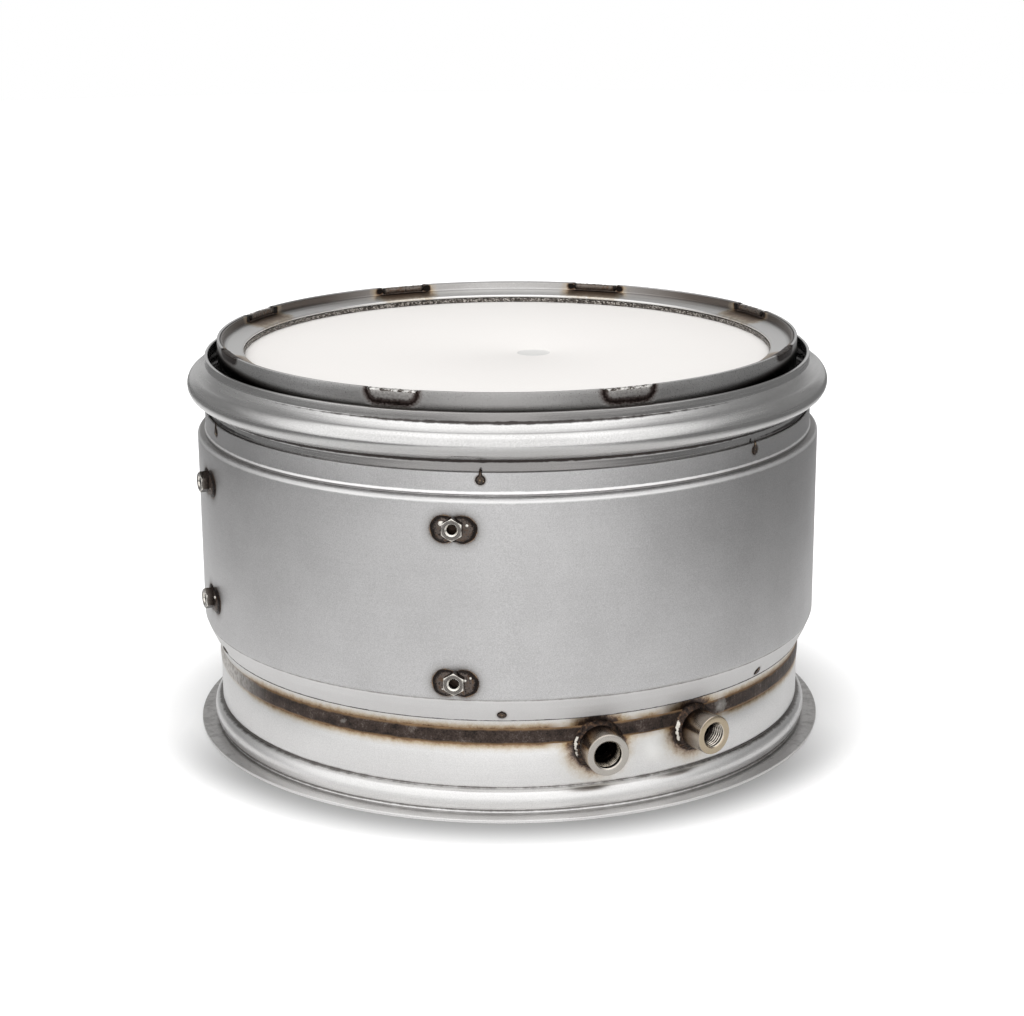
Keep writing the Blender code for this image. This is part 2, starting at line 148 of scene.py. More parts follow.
def ringSpace(tree):
    place = addNode(tree, "ShaderNodeTexCoord").outputs["Object"]
    axes = addNode(tree, "ShaderNodeSeparateXYZ", [place]).outputs
    front = addNode(tree, "ShaderNodeMath", [axes["Y"], -1.0], operation="MULTIPLY")
    angle = addNode(tree, "ShaderNodeMath", [axes["X"], front], operation="ARCTAN2")
    radius, flat = flatLength(tree, axes["X"], axes["Y"])
    across = addNode(tree, "ShaderNodeMath", [axes["Z"], radius], operation="ADD")
    return {"place": place, "height": axes["Z"], "angle": angle, "radius": radius, "flat": flat,
            "across": across, "side": axes["X"], "front": front}


def sideShare(tree, ring):
    # Nought at the front and at the back, one at the two sides.
    turn = addNode(tree, "ShaderNodeMath", [ring["angle"]], operation="SINE")
    return addNode(tree, "ShaderNodeMath", [turn, turn], operation="MULTIPLY")


def heightGap(tree, ring, height, half=0.0):
    # Distance above or below a band round the part, in metres.
    off = addNode(tree, "ShaderNodeMath", [ring["height"], height], operation="SUBTRACT")
    off = addNode(tree, "ShaderNodeMath", [off], operation="ABSOLUTE")
    return addNode(tree, "ShaderNodeMath", [off, half], operation="SUBTRACT")


def turningLines(tree, ring, pitch, reach):
    # Fine lines left by a spinning tool: long round the ring, and pitch metres apart across it.
    along = addNode(tree, "ShaderNodeVectorMath", [ring["flat"], (1 / reach, 1 / reach, 0)],
                    operation="MULTIPLY")
    lift = addNode(tree, "ShaderNodeMath", [ring["across"], 1 / pitch], operation="MULTIPLY")
    lift = addNode(tree, "ShaderNodeCombineXYZ", [0.0, 0.0, lift])
    where = addNode(tree, "ShaderNodeVectorMath", [along, lift], operation="ADD")
    return addNode(tree, "ShaderNodeTexNoise", {"Vector": where, "Scale": 1.0, "Detail": 3.0,
                                                "Roughness": 0.6})


def arcFromNearest(tree, ring, angles):
    # Distance along the ring, in metres, from the nearest of some angles.
    centres = sorted((angle / 360 + 0.5) for angle in angles)
    stops = [(0.0, (centres[0],) * 3 + (1.0,))]
    for low, high in zip(centres, centres[1:]):
        stops.append((0.5 * (low + high), (high,) * 3 + (1.0,)))
    turn = addNode(tree, "ShaderNodeMath", [ring["angle"], 0.5 / math.pi, 0.5], operation="MULTIPLY_ADD")
    ramp = addNode(tree, "ShaderNodeValToRGB", [turn], stops)
    ramp.color_ramp.interpolation = "CONSTANT"
    off = addNode(tree, "ShaderNodeMath", [turn, ramp], operation="SUBTRACT")
    off = addNode(tree, "ShaderNodeMath", [off], operation="ABSOLUTE")
    arc = addNode(tree, "ShaderNodeMath", [off, ring["radius"]], operation="MULTIPLY")
    return addNode(tree, "ShaderNodeMath", [arc, math.tau], operation="MULTIPLY")


def padDistance(tree, arc, drop, half, depth, corner):
    # Signed distance, in metres, from a pad with round corners: half long and depth deep.
    alongSide = addNode(tree, "ShaderNodeMath", [arc, half - corner], operation="SUBTRACT")
    downSide = addNode(tree, "ShaderNodeMath", [drop, depth - corner], operation="SUBTRACT")
    outAlong = addNode(tree, "ShaderNodeMath", [alongSide, 0.0], operation="MAXIMUM")
    outDown = addNode(tree, "ShaderNodeMath", [downSide, 0.0], operation="MAXIMUM")
    length, _ = flatLength(tree, outAlong, outDown)
    within = addNode(tree, "ShaderNodeMath", [alongSide, downSide], operation="MAXIMUM")
    within = addNode(tree, "ShaderNodeMath", [within, 0.0], operation="MINIMUM")
    whole = addNode(tree, "ShaderNodeMath", [length, within], operation="ADD")
    return addNode(tree, "ShaderNodeMath", [whole, corner], operation="SUBTRACT")


def spotDistance(tree, ring, centres, size):
    # Distance, in metres, past round spots of one size.
    nearest = None
    for centre in centres:
        gap = addNode(tree, "ShaderNodeVectorMath", [ring["place"], tuple(centre)],
                      operation="DISTANCE").outputs["Value"]
        if nearest is not None:
            gap = addNode(tree, "ShaderNodeMath", [nearest, gap], operation="MINIMUM").outputs[0]
        nearest = gap
    return addNode(tree, "ShaderNodeMath", [nearest, size], operation="SUBTRACT")


def burnTint(tree, base, distance, stops, wobble=None, sway=0.0, reach=8 * mm):
    # Lays oxide colours over base and returns the result, and their strength at each point. Stops are (mm past the
    # weld's edge, oxide name or hex code, strength), up to reach metres either way.
    if wobble is not None:
        lift = addNode(tree, "ShaderNodeMath", [wobble, 0.5], operation="SUBTRACT")
        distance = addNode(tree, "ShaderNodeMath", [lift, 2 * sway, distance], operation="MULTIPLY_ADD")
    share = addNode(tree, "ShaderNodeMath", [distance, 0.5 / reach, 0.5], operation="MULTIPLY_ADD")
    places = [(min(max(0.5 + 0.5 * place * mm / reach, 0.0), 1.0), linear(oxide.get(tone, tone), *strength))
              for place, tone, *strength in stops]
    ramp = addNode(tree, "ShaderNodeValToRGB", [share], places).outputs
    mixed = addNode(tree, "ShaderNodeMix", {0: ramp["Alpha"], 6: base, 7: ramp["Color"]}, data_type="RGBA")
    return mixed.outputs[2], ramp["Alpha"]


def heatTint(tree, base, *edge):
    # The same, without the strength.
    return burnTint(tree, base, *edge)[0]


def laid(tree, base, tone, field, start, end, most=1.0, within=None):
    # Mixes a tone in while a field goes from start to end, where another field lets it.
    share = addNode(tree, "ShaderNodeMapRange", {"Value": field, "From Min": start, "From Max": end, "To Max": most})
    if within is not None:
        share = addNode(tree, "ShaderNodeMath", [share, within], operation="MULTIPLY")
    return addNode(tree, "ShaderNodeMix", {0: share, 6: base, 7: tone}, data_type="RGBA").outputs[2]


def paintedFoldShadeAndEdgeLight(tree, ring, colour, lines):
    # Painted shade in folds and painted highlight on edges: (height, half width in front, half width at the sides,
    # tone, strength).
    side = sideShare(tree, ring)
    wander = addNode(tree, "ShaderNodeTexNoise", {"Vector": ring["place"], "Scale": 1 / (5 * mm), "Detail": 4.0,
                                                  "Roughness": 0.7})
    for height, front, wide, tone, strength in lines:
        width = addNode(tree, "ShaderNodeMath", [side, (wide - front) * mm, front * mm], operation="MULTIPLY_ADD")
        gap = heightGap(tree, ring, height, width)
        colour = heatTint(tree, colour, gap, [(-8, tone, strength), (-0.1, tone, strength), (0.45, tone, 0.0)],
                          wander, 0.6 * mm)
    return colour


def newFinish(name, *clouds):
    # Each cloud is a field of noise: size in mm, detail and roughness.
    material = bpy.data.materials.new(name)
    material.use_nodes = True
    tree = material.node_tree
    tree.nodes.clear()
    ring = ringSpace(tree)
    fields = [addNode(tree, "ShaderNodeTexNoise", {"Vector": ring["place"], "Scale": 1 / (size * mm),
                                                   "Detail": detail, "Roughness": roughness})
              for size, detail, roughness in clouds]
    return material, tree, ring, *fields


def closeFinish(material, colour, roughness, heights=(), metallic=1.0):
    # Roughness is one value, or (field, low, high). Heights are (field, depth in metres) pairs, one bump on another.
    tree = material.node_tree
    if isinstance(roughness, tuple):
        field, low, high = roughness
        roughness = addNode(tree, "ShaderNodeMapRange", {"Value": field, "From Min": 0.3, "From Max": 0.7,
                                                         "To Min": low, "To Max": high})
    normal = None
    for field, depth in heights:
        feeds = {"Height": field, "Distance": depth, "Strength": 1.0}
        if normal is not None:
            feeds["Normal"] = normal
        normal = addNode(tree, "ShaderNodeBump", feeds).outputs[0]
    shader = addNode(tree, "ShaderNodeBsdfPrincipled", {"Base Color": colour, "Roughness": roughness,
                                                        "Metallic": metallic})
    if normal is not None:
        tree.links.new(normal, shader.inputs["Normal"])
    addNode(tree, "ShaderNodeOutputMaterial", [shader])
    return material


steelLook = {
    # Bare ferritic stainless: the spun rings, and the blasted shell that is a little deeper.
    "pale": "#D9D8D7", "deep": "#C3C2C1", "shellPale": "#D0CFCF", "shellDeep": "#B8B7B7",
    # The outlet ring's pair is the same steel painted lighter, as painted light.
    "outletPaintedLightPale": "#E5E4E3", "outletPaintedLightDeep": "#D5D4D3",
    "grain": 0.55 * mm, "mottle": 45 * mm,
    "linePitch": 0.9 * mm, "lineReach": 60 * mm,
}


def steelBase(tree, ring, lines=0.5, pale="pale", deep="deep"):
    # Mill steel: soft clouds, a fine grain, and faint lines round the turning.
    cloud = addNode(tree, "ShaderNodeTexNoise", {"Vector": ring["place"], "Scale": 1 / steelLook["mottle"],
                                                 "Detail": 3.0, "Roughness": 0.6})
    grain = addNode(tree, "ShaderNodeTexNoise", {"Vector": ring["place"], "Scale": 1 / steelLook["grain"],
                                                 "Detail": 2.0, "Roughness": 0.6})
    streak = turningLines(tree, ring, steelLook["linePitch"], steelLook["lineReach"])
    tone = addNode(tree, "ShaderNodeMix", {0: 0.72, 2: cloud, 3: grain}, data_type="FLOAT").outputs[0]
    tone = addNode(tree, "ShaderNodeMix", {0: 0.5 * lines, 2: tone, 3: streak}, data_type="FLOAT").outputs[0]
    colour = addNode(tree, "ShaderNodeValToRGB", [tone], [(0.38, steelLook[deep]), (0.62, steelLook[pale])])
    return colour.outputs[0], grain, streak, cloud


burnLook = {
    # Pads as (half length, depth, corner), and round spots by their radius.
    "tack": 2.4 * mm, "topTackDrop": 3.7 * mm, "bottomTackRise": 4.1 * mm, "nutBore": 3.2 * mm,
    "seamHalf": 3.7 * mm, "scaleHalf": 3.6 * mm, "seamPull": 3.2 * mm,
    "wide": 13.6 * mm, "slim": 13.0 * mm, "bungRise": 0.8 * mm,
    "canPad": (15.4 * mm, 8.9 * mm, 7.5 * mm), "tanPad": (19 * mm, 17.5 * mm, 7 * mm),
    "ringPad": (15.6 * mm, 6.4 * mm, 3.0 * mm), "blobPlace": (15.6 * mm, 2.2 * mm), "blob": 1.9 * mm,
    # The seam's cool side: its middle, and how far from there the fade starts and ends, in degrees.
    "coolSide": (-95, 46, 24),
    # The clean patch between the two bungs: angle, height and radius.
    "cleanSpot": (27.0, 29 * mm, 4 * mm),
}


def blastedShellSteel():
    # Satin ferritic stainless sheet: fine blasted grain that blurs what it mirrors.
    material, tree, ring = newFinish("blastedShellSteel")
    colour, grain, _, cloud = steelBase(tree, ring, 0.15, "shellPale", "shellDeep")
    # Dark breath of heat round both lobes of each nut's weld puddle, with an orange edge to it.
    side = math.degrees(puddleLook["offset"] / bodyRadius)
    lobes = [around(a + turn, bodyRadius, h - puddleLook["sag"])
             for a, h in zip(nutAngles, nutHeights) for turn in (-side, side)]
    distance = spotDistance(tree, ring, lobes, puddleLook["lobe"])
    colour = heatTint(tree, colour, distance, [(-8, "black"), (-0.5, "core"), (-0.15, "#9A7850", 0.9),
                                               (0.2, "#5A524D", 0.8), (1.1, "#8A8683", 0.55), (2.4, "#9A9896", 0.3),
                                               (5.5, "#A8A8A8", 0.0)], grain, 0.8 * mm)
    # Painted shade: the shell is painted black down each nut's bore.
    spot = spotDistance(tree, ring, [around(a, bodyRadius, h) for a, h in zip(nutAngles, nutHeights)],
                        burnLook["nutBore"])
    colour = heatTint(tree, colour, spot, [(-8, "#0C0A09"), (0.4, "#0C0A09", 0.0)])
    # Tack burns at the neck's top edge and on the cone.
    for angles, height in ((topTackAngles, neckTop - burnLook["topTackDrop"]),
                           (bottomTackAngles, shellBottom + burnLook["bottomTackRise"])):
        arc = arcFromNearest(tree, ring, angles)
        rise = addNode(tree, "ShaderNodeMath", [ring["height"], height], operation="SUBTRACT")
        reach, _ = flatLength(tree, arc, rise)
        gap = addNode(tree, "ShaderNodeMath", [reach, burnLook["tack"]], operation="SUBTRACT")
        colour = heatTint(tree, colour, gap, [(-8, "#3A322E"), (0, "#3A322E", 0.9), (0.6, "#8A8078", 0.4),
                                              (1.4, "#A8A8A8", 0)], grain, 0.5 * mm)
    # Painted highlights on the shoulder's rolled edges, with painted shade in the groove between them.
    colour = paintedFoldShadeAndEdgeLight(tree, ring, colour, [(neckTop - 10.1 * mm, 0.45, 0.2, "#FBFAF9", 0.9),
                                             (neckTop - 11.5 * mm, 0.1, 0.8, "#5A534F", 0.45),
                                             (neckTop - 13.4 * mm, 0.8, 0.4, "#F8F7F6", 0.55)])
    # Painted light: the cone below the crease is painted lighter. Painted shade then darkens the crease and the
    # shell's bottom edge.
    colour = laid(tree, colour, "#F2F1F0", ring["height"], shellBottom + 13.0 * mm, shellBottom + 12.6 * mm, 0.55)
    colour = paintedFoldShadeAndEdgeLight(tree, ring, colour, [(shellBottom + 12.95 * mm, 0.0, 0.0, "#77706B", 0.7),
                                             (shellBottom, 0.3, 0.9, "foldShade", 0.95)])
    # The cone is duller than the body.
    dull = addNode(tree, "ShaderNodeMapRange", {"Value": ring["height"], "From Min": shellBottom + 14 * mm,
                                                "From Max": shellBottom + 11 * mm, "To Max": 0.35})
    rough = addNode(tree, "ShaderNodeMath", [grain, 0.25, dull], operation="MULTIPLY_ADD")
    rough = addNode(tree, "ShaderNodeMath", [rough, 0.31], operation="ADD")
    return closeFinish(material, colour, rough, [(grain, 0.03 * mm), (cloud, 0.5 * mm)])


def spunCollarSteel():
    # Spun and rolled stainless: smoother, with fine lines round the ring.
    material, tree, ring = newFinish("spunCollarSteel")
    colour, grain, streak, _ = steelBase(tree, ring, 0.5)
    # Painted shade: the lip's band, the skirt and the bead's underside are painted a duller grey, most of all in
    # front.
    turn = sideShare(tree, ring)
    front = addNode(tree, "ShaderNodeMapRange", {"Value": turn, "From Min": 0.5, "From Max": 0.0, "To Max": 0.8})
    lip, skirt, under = (
        addNode(tree, "ShaderNodeMapRange", {"Value": ring["height"], "From Min": lipTop - start * mm,
                                             "From Max": lipTop - end * mm, "To Max": most})
        for start, end, most in ((4.7, 4.3, 1.0), (23.0, 23.4, 1.0), (14.8, 17.0, 0.5)))
    skin = addNode(tree, "ShaderNodeMath", [lip, skirt], operation="MAXIMUM")
    skin = addNode(tree, "ShaderNodeMath", [skin, under], operation="MAXIMUM")
    skin = addNode(tree, "ShaderNodeMath", [skin, front], operation="MULTIPLY")
    colour = addNode(tree, "ShaderNodeMix", {0: skin, 6: colour, 7: "#8F8C8A"}, data_type="RGBA").outputs[2]
    # Painted shade fills the folds under the bead's hem, at the lip's foot and above the shell's neck.
    colour = paintedFoldShadeAndEdgeLight(tree, ring, colour, [(lipTop - 23.8 * mm, 0.75, 1.5, "foldShade", 0.95),
                                             (lipTop - 4.75 * mm, 0.5, -1.2, "foldShade", 0.95),
                                             (neckTop + 0.4 * mm, -0.4, 0.9, "#57504B", 0.6),
                                             (neckTop + 1.6 * mm, -3.0, 1.6, "foldShade", 0.95)])
    # Painted shade: the hidden inner side is painted black, in front only from a little below the lip.
    low = addNode(tree, "ShaderNodeMapRange", {"Value": ring["height"], "From Min": lipTop - 3.0 * mm,
                                               "From Max": lipTop - 6.0 * mm})
    side = addNode(tree, "ShaderNodeMapRange", {"Value": turn, "From Min": 0.2, "From Max": 0.7})
    low = addNode(tree, "ShaderNodeMath", [low, side], operation="MAXIMUM")
    colour = laid(tree, colour, "#0E0C0B", ring["radius"], lipRadius - 1.2 * mm, lipRadius - 1.5 * mm, within=low)
    return closeFinish(material, colour, (streak, 0.18, 0.30), [(grain, 0.01 * mm), (streak, 0.02 * mm)])


def seamFade(tree, ring):
    # One round the left side, where the seam was made with less heat, and nought elsewhere.
    middle, start, end = (math.radians(angle) for angle in burnLook["coolSide"])
    away = addNode(tree, "ShaderNodeMath", [ring["angle"], middle], operation="SUBTRACT")
    away = addNode(tree, "ShaderNodeMath", [away], operation="ABSOLUTE")
    return addNode(tree, "ShaderNodeMapRange", {"Value": away, "From Min": start, "From Max": end},
                   interpolation_type="SMOOTHSTEP")


def outletCollarSteel():
    # The same spun steel in lighter tones that are painted light, burnt by the seam weld above it and by the two
    # bungs, with painted shade on the flange's sides and in the folds.
    material, tree, ring, wander, speckle = newFinish("outletCollarSteel", (9, 3.0, 0.6), (4, 6.0, 0.8))
    colour, grain, streak, _ = steelBase(tree, ring, 0.25, "outletPaintedLightPale", "outletPaintedLightDeep")
    # Painted shade: the flange is painted darker towards the sides.
    turn = sideShare(tree, ring)
    side = addNode(tree, "ShaderNodeMapRange", {"Value": turn, "From Min": 0.3, "From Max": 0.95, "To Max": 0.5})
    colour = laid(tree, colour, "#9B9794", ring["height"], 2.3 * mm, 2.0 * mm, within=side)
    # The seam's burn pulls in where the seam was made with less heat.
    gap = heightGap(tree, ring, seamHeight, burnLook["seamHalf"])
    gap = addNode(tree, "ShaderNodeMath", [seamFade(tree, ring), burnLook["seamPull"], gap], operation="MULTIPLY_ADD")
    colour = heatTint(tree, colour, gap, [(-8, "core"), (0, "core"), (0.8, "tan", 0.95), (2.1, "straw", 0.8),
                                          (3.6, "pale", 0.4), (5.5, "pale", 0.0)], speckle, 2.0 * mm)
    angle, height, size = burnLook["cleanSpot"]
    spot = spotDistance(tree, ring, [around(angle, sleeveRadius, height)], size)
    colour = heatTint(tree, colour, spot, [(-4, "#F4F3F1", 0.9), (0, "#F0EFEC", 0.8), (7, "#E8E6E2", 0.0)], wander,
                      3 * mm)
    for name, angle in bungAngles.items():
        spot = around(angle, sleeveRadius, bungHeight + burnLook["bungRise"])
        gap = spotDistance(tree, ring, [spot], burnLook[name])
        colour = heatTint(tree, colour, gap, [(-16, "black"), (0, "core", 0.95), (1.0, "brown", 0.9),
                                              (2.0, "tan", 0.8), (4.0, "straw", 0.6), (6, "pale", 0.5),
                                              (9, "bleach", 0.5), (14, "bleach", 0.0)], speckle, 5.0 * mm, 16 * mm)
    # Painted shade in the folds above and below the bead.
    colour = paintedFoldShadeAndEdgeLight(tree, ring, colour, [(14.3 * mm, 0.15, 0.95, "#463F3A", 0.85),
                                             (3.0 * mm, 0.3, 0.85, "#463F3A", 0.8)])
    return closeFinish(material, colour, (streak, 0.30, 0.40), [(grain, 0.006 * mm), (streak, 0.02 * mm)])


def stitchBurn(tree, ring, colour, dots, path):
    # A stitch's burnt pad: grey where the metal ran, black scale at its edge, deeper at the sides than in front.
    arc = arcFromNearest(tree, ring, stitchAngles)
    turn = sideShare(tree, ring)
    turn = addNode(tree, "ShaderNodeMapRange", {"Value": turn, "From Min": 0.3, "From Max": 0.8})
    deeper = addNode(tree, "ShaderNodeMath", [turn, 1.0, 1.0], operation="MULTIPLY_ADD")
    deeper = addNode(tree, "ShaderNodeMath", [deeper, path], operation="MULTIPLY")
    gap = padDistance(tree, arc, deeper, *burnLook["canPad"])
    run = addNode(tree, "ShaderNodeValToRGB", [dots], [(0.36, "#979390"), (0.62, "#BAB7B4")])
    run = addNode(tree, "ShaderNodeMix", {0: turn, 6: run, 7: oxide["core"]}, data_type="RGBA").outputs[2]
    colour = laid(tree, colour, run, gap, -2.0 * mm, -3.0 * mm)
    return burnTint(tree, colour, gap, [(-4.6, "core", 0.0), (-3.4, "core", 0.85), (-2.6, "core"),
                                        (-1.9, "#1D1816"), (-1.2, "core"), (-0.2, "#5A4E48", 0.65),
                                        (1.6, "#8A8480", 0.0)], dots, 1.8 * mm)


def canSheetSteel():
    # Mill-finish can sheet, a little dulled, burnt where the stitches hold the ring.
    material, tree, ring, dots = newFinish("canSheetSteel", (1.3, 3.0, 0.7))
    colour, grain, *_ = steelBase(tree, ring, 0.4)
    drop = addNode(tree, "ShaderNodeMath", [rimTop, ring["height"]], operation="SUBTRACT")
    # Painted shade: the wall is painted darker in front and at the back, and from grey-brown to black where it goes
    # down behind the collar's lip.
    turn = addNode(tree, "ShaderNodeMath", [ring["angle"]], operation="SINE")
    turn = addNode(tree, "ShaderNodeMath", [turn], operation="ABSOLUTE")
    turn = addNode(tree, "ShaderNodeMath", [turn, 6.0], operation="POWER")
    colour = laid(tree, colour, "#807D7B", turn, 0.05, 0.0, 0.55)
    gapShade = addNode(tree, "ShaderNodeMath", [turn, 8.0 * mm, drop], operation="MULTIPLY_ADD")
    gapShade = addNode(tree, "ShaderNodeMath", [gapShade, rimTop - lipTop + 2.2 * mm], operation="SUBTRACT")
    colour = heatTint(tree, colour, gapShade, [(-2.4, "grey", 0.0), (-0.8, "#6E645D", 0.6), (0.6, "#3A312C", 0.9),
                                             (1.8, "#0E0C0B", 1.0)], grain, 1.2 * mm)
    colour, burn = stitchBurn(tree, ring, colour, dots, drop)
    rise = addNode(tree, "ShaderNodeMath", [ring["height"], canBottom], operation="SUBTRACT")
    colour, _ = stitchBurn(tree, ring, colour, dots, rise)
    return closeFinish(material, colour, (grain, 0.26, 0.36), [(grain, 0.012 * mm), (burn, -0.12 * mm)])


def ringSheetSteel():
    # The retaining ring: pressed sheet, browned up its leg by the stitches, tanned to its curled edge.
    material, tree, ring, wander, speckle = newFinish("ringSheetSteel", (6, 3.0, 0.6), (3, 6.0, 0.8))
    colour, grain, streak, _ = steelBase(tree, ring, 0.6)
    arc = arcFromNearest(tree, ring, stitchAngles)
    high = addNode(tree, "ShaderNodeMath", [rimTop, ring["height"]], operation="SUBTRACT")
    low = addNode(tree, "ShaderNodeMath", [ring["height"], canBottom], operation="SUBTRACT")
    drop = addNode(tree, "ShaderNodeMath", [high, low], operation="MINIMUM")
    inward = addNode(tree, "ShaderNodeMath", [legRadius - 1.2 * mm, ring["radius"]], operation="SUBTRACT")
    inward = addNode(tree, "ShaderNodeMath", [inward, 0.0], operation="MAXIMUM")
    # Painted shade: the leg's inner wall is painted darker all the way round, most at the sides, from the flange's
    # bend up.
    turn = addNode(tree, "ShaderNodeMath", [ring["angle"]], operation="SINE")
    turn = addNode(tree, "ShaderNodeMath", [turn], operation="ABSOLUTE")
    turn = addNode(tree, "ShaderNodeMapRange", {"Value": turn, "From Min": 0.1, "From Max": 0.7, "To Min": 0.15})
    colour = laid(tree, colour, "#6A635E", inward, 1.6 * mm, 0.4 * mm, within=turn)
    # Painted highlight: the flange is painted brighter.
    colour = laid(tree, colour, "#F2F1EF", inward, 2 * mm, 3 * mm, 0.6)
    path = addNode(tree, "ShaderNodeMath", [drop, inward], operation="ADD")
    tanGap = padDistance(tree, arc, path, *burnLook["tanPad"])
    colour = heatTint(tree, colour, tanGap, [(-8, "#6A5542", 0.95), (-4, "tan", 0.85), (-1, "straw", 0.7),
                                             (3.5, "pale", 0.0)], speckle, 6 * mm)
    # The burnt pad under a stitch reaches down to the flange, with a black blob of scale at each end.
    pad = padDistance(tree, arc, path, *burnLook["ringPad"])
    colour = heatTint(tree, colour, pad, [(-6, "#7C736D", 0.9), (-1.8, "#665D57", 0.9), (-0.8, "core", 0.9),
                                          (0.2, "#4A403A", 0.7), (1.4, "tan", 0.0)], speckle, 1.6 * mm)
    endArc = addNode(tree, "ShaderNodeMath", [arc, burnLook["blobPlace"][0]], operation="SUBTRACT")
    endPath = addNode(tree, "ShaderNodeMath", [path, burnLook["blobPlace"][1]], operation="SUBTRACT")
    blob, _ = flatLength(tree, endArc, endPath)
    blob = addNode(tree, "ShaderNodeMath", [blob, burnLook["blob"]], operation="SUBTRACT")
    colour = heatTint(tree, colour, blob, [(-8, "black"), (0, "black"), (0.5, "brown", 0.8), (1.2, "brown", 0.0)],
                      wander, 1.6 * mm)
    return closeFinish(material, colour, (streak, 0.28, 0.40), [(grain, 0.008 * mm), (streak, 0.02 * mm)])


def seamWeldOxide():
    # Circumferential seam weld under brown-black scale, with fine ripples across it.
    material, tree, ring, grain, blotch, wander, streaks = newFinish("seamWeldOxide", (1.0, 3.0, 0.7),
                                                                     (7, 3.0, 0.6), (9, 3.0, 0.6), (2.2, 3.0, 0.5))
    tone = addNode(tree, "ShaderNodeMix", {0: 0.5, 2: grain, 3: blotch}, data_type="FLOAT").outputs[0]
    colour = addNode(tree, "ShaderNodeValToRGB", [tone],
                     [(0.38, "#211C1A"), (0.47, "#3A302B"), (0.56, "#483D38"), (0.66, "#6E655F")]).outputs[0]
    gap = heightGap(tree, ring, seamHeight, burnLook["scaleHalf"])
    colour = heatTint(tree, colour, gap, [(-0.6, "tan", 0.0), (0.6, "tan", 1.0), (8, "straw")], wander, 0.9 * mm)
    # Brighter metal where the run starts and stops.
    for angle, size in seamEnds.items():
        gap = spotDistance(tree, ring, [around(angle, sleeveRadius, seamHeight + 0.5 * mm)], size)
        colour = heatTint(tree, colour, gap, [(-4, "#A5A29E", 0.8), (0, "#8A8580", 0.5), (1.6, "#5C524C", 0.0)],
                          streaks, 4 * mm)
    late = addNode(tree, "ShaderNodeMath", [seamFade(tree, ring), 0.92], operation="MULTIPLY")
    cool = addNode(tree, "ShaderNodeValToRGB", [streaks], [(0.4, "#ABA6A1"), (0.6, "#D2CFCB")])
    colour = addNode(tree, "ShaderNodeMix", {0: late, 6: colour, 7: cool}, data_type="RGBA").outputs[2]
    ripple = addNode(tree, "ShaderNodeMath", [ring["angle"], 2 * math.pi * 60], operation="MULTIPLY")
    ripple = addNode(tree, "ShaderNodeMath", [ripple], operation="SINE")
    return closeFinish(material, colour, (grain, 0.42, 0.6), [(ripple, 0.015 * mm), (grain, 0.15 * mm)],
                       metallic=0.75)


weldLook = {
    # Flake size in mm, its dark and light tones, bare metal, where straw begins to show, how deep the flakes stand,
    # and how far along and across the weld its black end and edge begin.
    "stitch": {"size": 2.2, "low": "#453E39", "high": "#77706A", "bare": "#ECEAE6", "from": 0.66,
               "depth": 0.35 * mm, "endAt": 12.6 * mm, "edge": 2.0},
    "tack": {"size": 1.6, "low": "#2A2421", "high": "#57504B", "bare": "#A9A29A", "from": 0.60,
             "depth": 0.25 * mm, "endAt": 20 * mm, "edge": 0.72},
    "puddle": {"size": 1.7, "low": "#241E1B", "high": "#645C57", "bare": "#F0ECE4", "from": 0.68,
               "depth": 0.35 * mm, "endAt": 20 * mm, "edge": 0.78},
    "fillet": {"size": 2.0, "low": "#191412", "high": "#3B312C", "bare": "#E4DFD6", "from": 0.66,
               "depth": 0.3 * mm, "endAt": 99 * mm, "edge": 2.0},
}


def weldMetal(kind):
    # Weld metal under flaky oxide: nearly black at its edges and ends, bare and bright where it was molten last.
    look = weldLook[kind]
    material, tree, _, flake, fine = newFinish(kind + "WeldMetal", (look["size"], 4.0, 0.65),
                                               (look["size"] / 3, 2.0, 0.7))
    along, across, bare = (addNode(tree, "ShaderNodeAttribute", attribute_name=mark).outputs["Fac"]
                           for mark in ("along", "across", "bare"))
    start = look["from"]
    colour = addNode(tree, "ShaderNodeValToRGB", [flake],
                     [(0.34, look["low"]), (0.5, look["high"]), (start, oxide["brown"]),
                      (start + 0.05, oxide["straw"]), (start + 0.09, look["bare"])]).outputs[0]
    beyond = addNode(tree, "ShaderNodeMath", [along], operation="ABSOLUTE")
    beyond = addNode(tree, "ShaderNodeMath", [beyond, look["endAt"]], operation="SUBTRACT")
    colour = heatTint(tree, colour, beyond, [(-1.2, "black", 0.0), (0.2, "black", 1.0)], flake, 1.6 * mm)
    rim = addNode(tree, "ShaderNodeMath", [across, look["edge"]], operation="SUBTRACT")
    rim = addNode(tree, "ShaderNodeMath", [rim, 8 * mm], operation="MULTIPLY")
    colour = heatTint(tree, colour, rim, [(-0.2, "black", 0.0), (0.5, "#171312", 0.9), (1.3, "#171312", 1.0),
                                          (1.7, "#3A2E26")], fine, 1.6 * mm)
    shown = addNode(tree, "ShaderNodeMath", [bare, flake], operation="ADD")
    colour = laid(tree, colour, look["bare"], shown, 0.98, 1.06)
    return closeFinish(material, colour, (fine, 0.28, 0.52), [(flake, look["depth"]), (fine, 0.3 * look["depth"])],
                       metallic=0.85)


bungLook = {
    "wide": {"radius": 10.95 * mm, "bore": 7.1 * mm, "hole": 4.6 * mm, "depth": 12.4 * mm, "relief": 2.2 * mm,
             "thread": 0.62 * mm, "mouth": 0.7 * mm},
    "slim": {"radius": 10.25 * mm, "bore": 6.25 * mm, "hole": 5.4 * mm, "depth": 13.5 * mm, "relief": 0.3 * mm,
             "thread": 0.72 * mm, "mouth": 0.75 * mm},
    "length": 16.0 * mm, "pitch": 1.5 * mm, "chamfer": 0.5 * mm, "steps": 96, "seat": 0.7 * mm,
}


